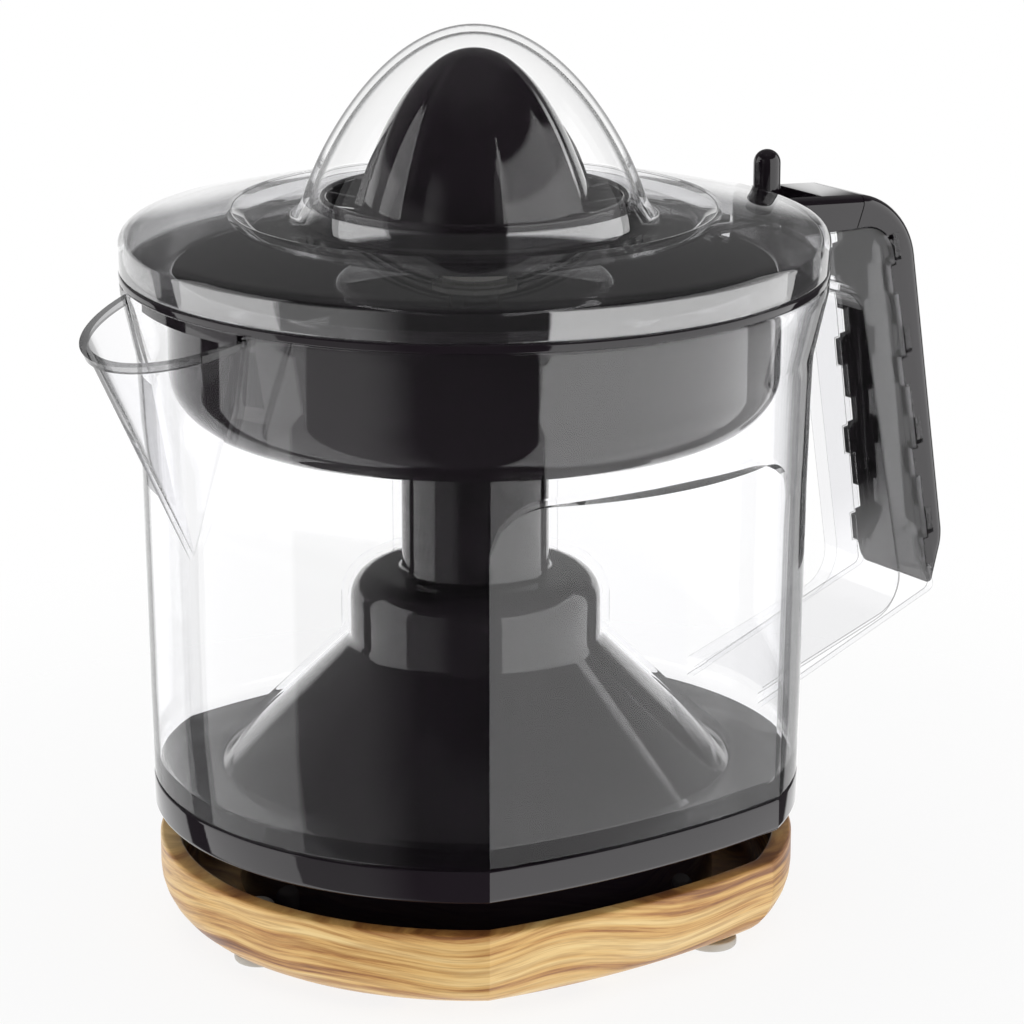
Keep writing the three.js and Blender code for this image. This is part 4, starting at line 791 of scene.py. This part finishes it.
grip = black_shell("grip_shell")
combine(grip, cap_region("cap_room", SEAM_GAP), "DIFFERENCE")
for step in range(TAB_COUNT):
    window = slab("window", along_seam(step, TAB_LENGTH + 1, TAB_LENGTH, -2.1, 1), inset=-1)
    combine(grip, window, "DIFFERENCE")
for step in range(TAB_COUNT):
    tab = slab("tab", along_seam(step, 0, TAB_LENGTH, -1, TAB_DEPTH))
    between = slab("between", [(0, 0), (200, 0), (200, CAP_TOP), (0, CAP_TOP)], inset=HANDLE_WALL)
    combine(tab, between, "DIFFERENCE")
    combine(grip, tab, "UNION")
shade(grip, BLACK)
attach(grip, "jug")
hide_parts("handle_grip")

cap = black_shell("cap_shell")
combine(cap, cap_region("cap_only", 0.0), "INTERSECT")
notch = slab("notch", [(0, 100), (CAP_NOTCH_END, 100), (CAP_NOTCH_END, 170), (0, 170)],
    width=CAP_NOTCH_WIDTH)
combine(cap, notch, "DIFFERENCE")
shade(cap, BLACK)
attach(cap, "jug")
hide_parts("handle_cap")

# ----------------------------------------------------------------------
# Juice bowl. Glossy black moulding that hangs in the jug's mouth by a flat flange, with a hub in its
# middle for the spindle, twelve slots in its floor, a guard across the spout and a notch for the lever.
# ----------------------------------------------------------------------
FLANGE_UNDERSIDE = 158.3
FLANGE_TOP = 160.3
FLANGE_RADIUS = 83
BOWL_RADIUS = 72
BOWL_BOTTOM = 124
BOWL_WALL = 2
BOWL_FLOOR = BOWL_BOTTOM + BOWL_WALL
BOWL_HUB_TOP = 157.4
BOWL_HOLE = 8.3
SLOT_COUNT = 12
SLOT_WIDTH = 4
SLOT_REACH = (41, 53)
bowl = draw("bowl_black", [
    (34.5, BOWL_BOTTOM), (BOWL_RADIUS, BOWL_BOTTOM, 12), (BOWL_RADIUS, FLANGE_UNDERSIDE, 0.8),
    (FLANGE_RADIUS, FLANGE_UNDERSIDE, 0.5), (FLANGE_RADIUS, FLANGE_TOP, 0.6),
    (BOWL_RADIUS - BOWL_WALL, FLANGE_TOP, 1), (BOWL_RADIUS - BOWL_WALL, BOWL_FLOOR, 10),
    (36.5, BOWL_FLOOR, 2), (33, BOWL_HUB_TOP, 3), (BOWL_HOLE, BOWL_HUB_TOP),
    (BOWL_HOLE, BOWL_HUB_TOP - BOWL_WALL), (31, BOWL_HUB_TOP - BOWL_WALL)], segments=8)
turn(full_turn(192))


def ring_part(name, inner, outer, half_angle, bottom, top, middle=0.0, steps=24):
    """A piece of a ring, to both sides of a middle angle."""
    piece = draw(name, [(inner, bottom), (outer, bottom), (outer, top), (inner, top)])
    bpy.ops.mesh.select_all(action="SELECT")
    bpy.ops.mesh.edge_face_add()
    bpy.ops.mesh.spin(steps=steps, angle=2 * half_angle, center=place(0, 0), axis=(0, 0, 1))
    bpy.ops.mesh.select_all(action="SELECT")
    turn_by(middle + half_angle)
    tidy_mesh()
    return piece


def turn_by(angle):
    """Turns what is selected in edit mode about the press's axis."""
    mesh = bmesh.from_edit_mesh(bpy.context.object.data)
    centre = place(0, 0)
    for point in mesh.verts:
        if point.select:
            x, y = point.co.x - centre.x, point.co.y
            point.co.x = centre.x + x * math.cos(angle) - y * math.sin(angle)
            point.co.y = x * math.sin(angle) + y * math.cos(angle)
    bmesh.update_edit_mesh(bpy.context.object.data)


def repeat_around(piece, count, first_angle):
    """Turns a piece to a first angle and copies it at even angles about the press's axis."""
    only(piece)
    bpy.ops.object.mode_set(mode="EDIT")
    bpy.ops.mesh.select_all(action="SELECT")
    turn_by(first_angle)
    for _ in range(count - 1):
        bpy.ops.mesh.duplicate()
        turn_by(2 * math.pi / count)
    bpy.ops.object.mode_set(mode="OBJECT")


def slot_cutters(bottom, top):
    """Blocks at even angles, which cut the slots that the juice runs through."""
    start, end = SLOT_REACH
    cutter = slab("slots", [(start, bottom), (end, bottom), (end, top), (start, top)], width=SLOT_WIDTH)
    repeat_around(cutter, SLOT_COUNT, math.pi / SLOT_COUNT)
    return cutter


guard = ring_part("guard", inner=77.3, outer=80.3, half_angle=math.radians(15),
    bottom=154.8, top=158.8, middle=math.pi)
combine(bowl, guard, "UNION")
lever_notch = ring_part("lever_notch", inner=67, outer=90, half_angle=math.radians(6.1), bottom=158.0, top=166)
combine(bowl, lever_notch, "DIFFERENCE")
combine(bowl, slot_cutters(bottom=120, top=127), "DIFFERENCE")
shade(bowl, BLACK, angle=25)
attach(bowl, "bowl")
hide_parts("juice_bowl")

# ----------------------------------------------------------------------
# Pulp selector. A flat black sieve ring on the bowl's floor that covers its slots more or less, with an
# arm that climbs the wall to a short rounded lever beside the lid. One moulding and a pushed-on lever.
# ----------------------------------------------------------------------
SIEVE_UNDERSIDE = 126.3
SIEVE_TOP = 128.1
SIEVE_INNER = 37.8
SIEVE_OUTER = 56
ARM_UNDERSIDE = 158.6
ARM_REACH = 69.3
ARM_THICKNESS = 1.6
sieve = draw("sieve_ring", [
    (SIEVE_INNER, SIEVE_UNDERSIDE, 0.3), (SIEVE_OUTER, SIEVE_UNDERSIDE, 0.3), (SIEVE_OUTER, SIEVE_TOP, 0.4),
    (SIEVE_INNER, SIEVE_TOP, 0.4)], segments=3)
turn(full_turn(128))
arm_path = [
    (SIEVE_OUTER - 2, SIEVE_UNDERSIDE), (SIEVE_OUTER + 2, SIEVE_UNDERSIDE, 1), (ARM_REACH, 137.8, 1.5),
    (ARM_REACH, ARM_UNDERSIDE, 2), (90.1, ARM_UNDERSIDE)]
arm = slab("lever_arm", arm_path + set_in(arm_path, ARM_THICKNESS)[::-1], width=6, edge=0.4, segments=2)
combine(sieve, arm, "UNION")
combine(sieve, slot_cutters(bottom=120, top=130), "DIFFERENCE")
shade(sieve, BLACK)
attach(sieve, "selector")
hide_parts("pulp_ring")

LEVER_AXIS = (86.8, 0)
LEVER_RADIUS = 3.35
LEVER_STEM = 1.67
LEVER_FOOT = 160.5
LEVER_TOP = 177.5
lever = draw("pulp_lever_round", [
    (0, ARM_UNDERSIDE), (LEVER_STEM, ARM_UNDERSIDE), (LEVER_STEM, LEVER_FOOT),
    (LEVER_RADIUS, LEVER_FOOT, 0.4), (LEVER_RADIUS, LEVER_TOP, 3.3), (0, LEVER_TOP)],
    closed=False, segments=8, about=LEVER_AXIS)
turn(full_turn(48), LEVER_AXIS)
shade(lever, BLACK)
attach(lever, "selector")
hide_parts("pulp_lever")

# ----------------------------------------------------------------------
# Reamer. A black moulded cone with four long ribs to its tip, four short ones between them and hollow
# flutes, in a ring with twelve upright fins that hold back the pulp. It lifts off the spindle.
# ----------------------------------------------------------------------
REAMER_RADIUS = 30.5
REAMER_HEIGHT = 43
REAMER_FOOT = reamer_high.z / MM - REAMER_HEIGHT
RIB_TURN = math.radians(24)
RIB_RISE = 0.022
FLUTE_DEPTH = 0.055
SPEAR_END = 0.66
FIN_TURN = math.radians(-10.5)
FIN_COUNT = 12
RING_RADIUS = 36.3
RING_INSIDE = 34.3
RING_BOTTOM = 164.7
RING_TOP = 176.7
WEB_UNDERSIDE = 168.7
WEB_TOP = 170.7


def reamer_radius(share):
    """The cone's radius at a share of its height."""
    return REAMER_RADIUS * math.sqrt(max(0.0, 1 - share ** 1.28))


# The rows lie closer together towards the tip, where the outline bends most.
rows = [1 - (1 - i / 44) ** 1.6 for i in range(44)]
cone_side = [(reamer_radius(share), REAMER_FOOT + share * REAMER_HEIGHT) for share in rows]
reamer = draw("reamer_cone", cone_side + [(0, REAMER_FOOT + REAMER_HEIGHT)], closed=False)
pick(lambda co: abs(co.z / MM - REAMER_FOOT) < 0.001)
bpy.ops.mesh.extrude_region_move(TRANSFORM_OT_translate={"value": (-(REAMER_RADIUS - 0.001) * MM, 0, 0)})
turn(full_turn(360))


def smoothstep(value, low, high):
    """Rises smoothly from nothing at a low value to one at a high value."""
    t = min(1.0, max(0.0, (value - low) / (high - low)))
    return t * t * (3 - 2 * t)


def crest(angle, ribs, half_width):
    """One on the nearest of evenly spaced ribs, and nothing beyond its half width in degrees."""
    spacing = 360 / ribs
    away = abs((math.degrees(angle) + spacing / 2) % spacing - spacing / 2)
    return max(0.0, 1 - away / half_width) ** 1.5


def flute(piece):
    """Sinks the lobes between four long sharp ribs, with a short spear-shaped rib in each lobe."""
    for point in piece.data.vertices:
        x, y = point.co.x - AXIS_X, point.co.y
        share = (point.co.z / MM - REAMER_FOOT) / REAMER_HEIGHT
        angle = math.atan2(y, x) - RIB_TURN
        long_rib = crest(angle, 4, 6 + 5 * share)
        spear_half_width = max(1.0, 9 * (SPEAR_END - share) / SPEAR_END)
        spear = crest(angle - math.pi / 4, 4, spear_half_width) * (1 - smoothstep(share, 0.4, SPEAR_END))
        lobe = 0.55 + 0.45 * abs(math.sin(2 * angle))
        deep = FLUTE_DEPTH * lobe * (1 - smoothstep(share, 0.9, 1.0) * 0.6)
        scale = 1 - deep * (1 - long_rib) * (1 - 0.85 * spear) + RIB_RISE * long_rib * (1 - share)
        point.co.x = AXIS_X + x * scale
        point.co.y = y * scale


flute(reamer)
ring = draw("ring", [
    (27.5, WEB_UNDERSIDE), (RING_INSIDE, WEB_UNDERSIDE, 0.8), (RING_INSIDE, RING_BOTTOM),
    (RING_RADIUS, RING_BOTTOM, 0.5), (RING_RADIUS, RING_TOP, 0.8), (RING_INSIDE, RING_TOP, 0.8),
    (RING_INSIDE, WEB_TOP, 1), (27.5, WEB_TOP)])
turn(full_turn(160))
combine(reamer, ring, "UNION")
fins = slab("fins", [
    (28, 169.5), (35.5, 169.5), (35.5, 172), (34.9, RING_TOP - 0.2), (28, RING_TOP - 1.5)], width=1.4)
repeat_around(fins, FIN_COUNT, FIN_TURN)
combine(reamer, fins, "UNION")
shade(reamer, BLACK, angle=14)
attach(reamer, "reamer")
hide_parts("reamer")

# ----------------------------------------------------------------------
# Lid. One clear moulding: a short skirt outside the jug's rim, a gently sloping top, a shallow moat and
# a pointed dome over the reamer.
# ----------------------------------------------------------------------
LID_BOTTOM = 160.6
LID_RADIUS = 83
LID_WALL = 2
LID_SHOULDER = 169
MOAT_CREST = (56.9, 174.1)
MOAT_BOTTOM = 171.2
DOME_RADIUS = 39.9
DOME_FOOT = 175.6
DOME_HEIGHT = 40.4
# The rows lie closer together towards the dome's tip.
dome_rows = [1 - (1 - i / 40) ** 1.7 for i in range(41)]
dome = [
    (DOME_RADIUS * math.sqrt(max(0.0, 1 - share ** 1.2)), DOME_FOOT + share * DOME_HEIGHT)
    for share in dome_rows]
lid_path = [
    (LID_RADIUS, LID_BOTTOM), (LID_RADIUS, LID_SHOULDER, 3), (78.7, 169.7, 2), (*MOAT_CREST, 1.5),
    (52.9, MOAT_BOTTOM, 3), (42.4, MOAT_BOTTOM, 2.2)] + dome
lid_inner = set_in(lid_path, LID_WALL)
lid_inner[-1] = (0, lid_path[-1][1] - LID_WALL)
lid_inner = [corner for corner in lid_inner if corner[0] >= 0]
lid = draw("lid_clear", [lid_path[0] + (0.5,)] + lid_path[1:] + lid_inner[::-1], segments=5)
pick(lambda co: co.x - AXIS_X < 1e-7)
bpy.ops.mesh.delete(type="EDGE")
turn(full_turn(192))
# Painted shade: each lid finish darkens towards its edges, the dome's and skirt's more.
CLEAR_LID = clear_plastic("clear_plastic_lid", 1.0, [(0.0, 0.99), (0.76, 0.94), (0.86, 0.4), (1.0, 0.12)])
CLEAR_DOME = clear_plastic("clear_plastic_dome", 0.3,
    [(0.0, 1.0), (0.76, 1.0), (0.81, 0.4), (0.86, 0.1), (1.0, 0.05)])
CLEAR_SKIRT = clear_plastic("clear_plastic_skirt", 1.0,
    [(0.0, 0.98), (0.8, 0.85), (0.9, 0.4), (1.0, 0.26)], coat_index=2.05)
shade(lid, CLEAR_LID, angle=25)
DOME_PART, SKIRT_PART, RIDGE_SHADE_PART = add_finishes(lid, CLEAR_DOME, CLEAR_SKIRT, CLEAR_EDGE_SHADE)


def lid_finish(face):
    """Picks the finish of one of the lid's faces from where it lies; 0 is the main one. The ridge finish is
    the dark painted edge shade.
    """
    height = face.center.z / MM
    reach = (face.center - place(0, height)).length / MM
    # Painted shade: the moat's crest and the dome's foot get the dark edge finish as painted dark lines.
    on_crest = abs(reach - 56.4) < 0.9 and height > 172.6 and abs(face.normal.z) < 0.88
    at_dome_foot = abs(reach - DOME_RADIUS) < 0.8 and abs(height - DOME_FOOT) < 0.35
    if on_crest or at_dome_foot:
        return RIDGE_SHADE_PART
    if reach < DOME_RADIUS + 0.5 and height > DOME_FOOT - 1:
        return DOME_PART
    on_skirt = reach > 80.9 and height < 167.5
    on_moat_side = reach < 43 and 171.3 < height < DOME_FOOT
    return SKIRT_PART if on_skirt or on_moat_side else 0


for face in lid.data.polygons:
    face.material_index = lid_finish(face)
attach(lid, "lid")
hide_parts("lid")

# ----------------------------------------------------------------------
# Studio. A pale floor that fades out into the white, a world that is plain when seen and lights softly,
# and whose bright cards show only as reflections in the glossy parts. The camera comes last.
# ----------------------------------------------------------------------
FLOOR_RADIUS = 0.34
FADE_START = 0.16
FADE_END = FLOOR_RADIUS - 0.01
FLOOR_GLOW = 0.86
bpy.ops.object.select_all(action="DESELECT")
bpy.ops.mesh.primitive_circle_add(vertices=96, radius=FLOOR_RADIUS, fill_type="NGON", location=(0, 0, 0))
floor = bpy.context.object
floor.name = "floor"
floor_paint, floor_tree, floor_shader = new_material("pale_floor",
    Base_Color=(0.93, 0.93, 0.93, 1), Roughness=0.9)
paths = add_node(floor_tree, "ShaderNodeLightPath")
glow = add_node(floor_tree, "ShaderNodeEmission", {"Color": (1, 1, 1, 1), "Strength": 1.0})
lifted_white = add_node(floor_tree, "ShaderNodeMixShader",
    {0: FLOOR_GLOW, 1: floor_shader.outputs["BSDF"], 2: glow.outputs["Emission"]})
see_past = add_node(floor_tree, "ShaderNodeBsdfTransparent")
unmirrored = add_node(floor_tree, "ShaderNodeMixShader",
    {0: paths.outputs["Glossy Depth"], 1: lifted_white.outputs["Shader"], 2: see_past.outputs["BSDF"]})
from_middle = add_node(floor_tree, "ShaderNodeVectorMath",
    {0: add_node(floor_tree, "ShaderNodeTexCoord").outputs["Object"]}, operation="LENGTH")
fade = add_node(floor_tree, "ShaderNodeMapRange",
    {"Value": from_middle.outputs["Value"], "From Min": FADE_START, "From Max": FADE_END},
    interpolation_type="SMOOTHSTEP")
faded = add_node(floor_tree, "ShaderNodeMixShader",
    {0: fade.outputs["Result"], 1: unmirrored.outputs["Shader"], 2: see_past.outputs["BSDF"]})
floor_tree.links.new(faded.outputs["Shader"], floor_tree.nodes["Material Output"].inputs["Surface"])
floor.data.materials.append(floor_paint)

world = bpy.data.worlds.new("studio")
bpy.context.scene.world = world
world.use_nodes = True
sky = world.node_tree
sky.nodes.clear()


def math_node(operation, a, b=0.0):
    return add_node(sky, "ShaderNodeMath", {0: a, 1: b}, operation=operation).outputs[0]


direction = add_node(sky, "ShaderNodeTexCoord").outputs["Generated"]
towards = add_node(sky, "ShaderNodeSeparateXYZ", {"Vector": direction})
bearing = math_node("ARCTAN2", towards.outputs["Y"], towards.outputs["X"])
bearing = math_node("MODULO", math_node("ADD", bearing, 2 * math.pi), 2 * math.pi)
height_angle = math_node("ARCSINE", towards.outputs["Z"])


def step_up(value, at, softness):
    """A mask that rises from nothing to one about an angle, over a softness to each side, in degrees."""
    at, softness = math.radians(at), math.radians(softness)
    ramp = add_node(sky, "ShaderNodeMapRange",
        {"Value": value, "From Min": at - softness, "From Max": at + softness},
        interpolation_type="SMOOTHSTEP")
    return ramp.outputs["Result"]


def card(start, end, bottom, top, strength, softness=(0.6, 0.6, 3.0, 2.0)):
    """A bright card that fills the directions between two bearings and two heights, in degrees."""
    low = step_up(bearing, start, softness[0])
    high = math_node("SUBTRACT", 1.0, step_up(bearing, end, softness[1]))
    under = step_up(height_angle, bottom, softness[2])
    over = math_node("SUBTRACT", 1.0, step_up(height_angle, top, softness[3]))
    between_bearings = math_node("MULTIPLY", low, high)
    between_heights = math_node("MULTIPLY", under, over)
    return math_node("MULTIPLY", math_node("MULTIPLY", between_bearings, between_heights), strength)


DARK_ROOM = 0.06
cards = DARK_ROOM
for shape in (
    (259.3, 358.3, -75, 34, 2.0),  # large, front right
    (125, 170.3, -75, 34, 1.75),  # narrower, back left
    (165, 207, -75, 30, 0.5, (3, 14, 3, 4)),  # dimmer, left
    (22, 112, -75, 7, 1.2, (2, 1, 3, 4)),  # low, behind
    (0, 125, 7, 60, 0.17, (14, 14, 6, 8)),  # dim, above that one
    (0, 360, 60, 95, 0.16, (1, 1, 8, 1)),  # dim ceiling
):
    cards = math_node("MAXIMUM", cards, card(*shape))
rays = add_node(sky, "ShaderNodeLightPath")
seen = math_node("MAXIMUM", rays.outputs["Is Camera Ray"], rays.outputs["Is Transmission Ray"])
seen = math_node("MULTIPLY", seen, math_node("LESS_THAN", rays.outputs["Glossy Depth"], 0.5))
seen = math_node("MULTIPLY", seen, math_node("LESS_THAN", rays.outputs["Diffuse Depth"], 0.5))
mirrored = math_node("MULTIPLY", math_node("GREATER_THAN", rays.outputs["Glossy Depth"], 0.5),
    math_node("LESS_THAN", rays.outputs["Diffuse Depth"], 0.5))
SOFT_LIGHT = 0.95
PLAIN_WHITE = 1.0
lighting = add_node(sky, "ShaderNodeMix", {0: mirrored, 2: SOFT_LIGHT, 3: cards}, data_type="FLOAT")
strength = add_node(sky, "ShaderNodeMix", {0: seen, 2: lighting.outputs[0], 3: PLAIN_WHITE}, data_type="FLOAT")
background = add_node(sky, "ShaderNodeBackground", {"Color": (1, 1, 1, 1), "Strength": strength.outputs[0]})
add_node(sky, "ShaderNodeOutputWorld", {"Surface": background.outputs["Background"]})

CAMERA_BEARING = -35.0
CAMERA_TILT = 16.01
CAMERA_LENS = 141.8
bpy.ops.object.camera_add(
    location=(AXIS_X - 0.5215, -0.7600, 0.3640),
    rotation=(math.radians(90 - CAMERA_TILT), 0, math.radians(CAMERA_BEARING)))
camera = bpy.context.object
camera.name = "camera"
camera.data.sensor_width = 36
camera.data.lens = CAMERA_LENS
camera.data.clip_start = 0.01
bpy.context.scene.camera = camera
bpy.context.scene.view_settings.view_transform = "Standard"
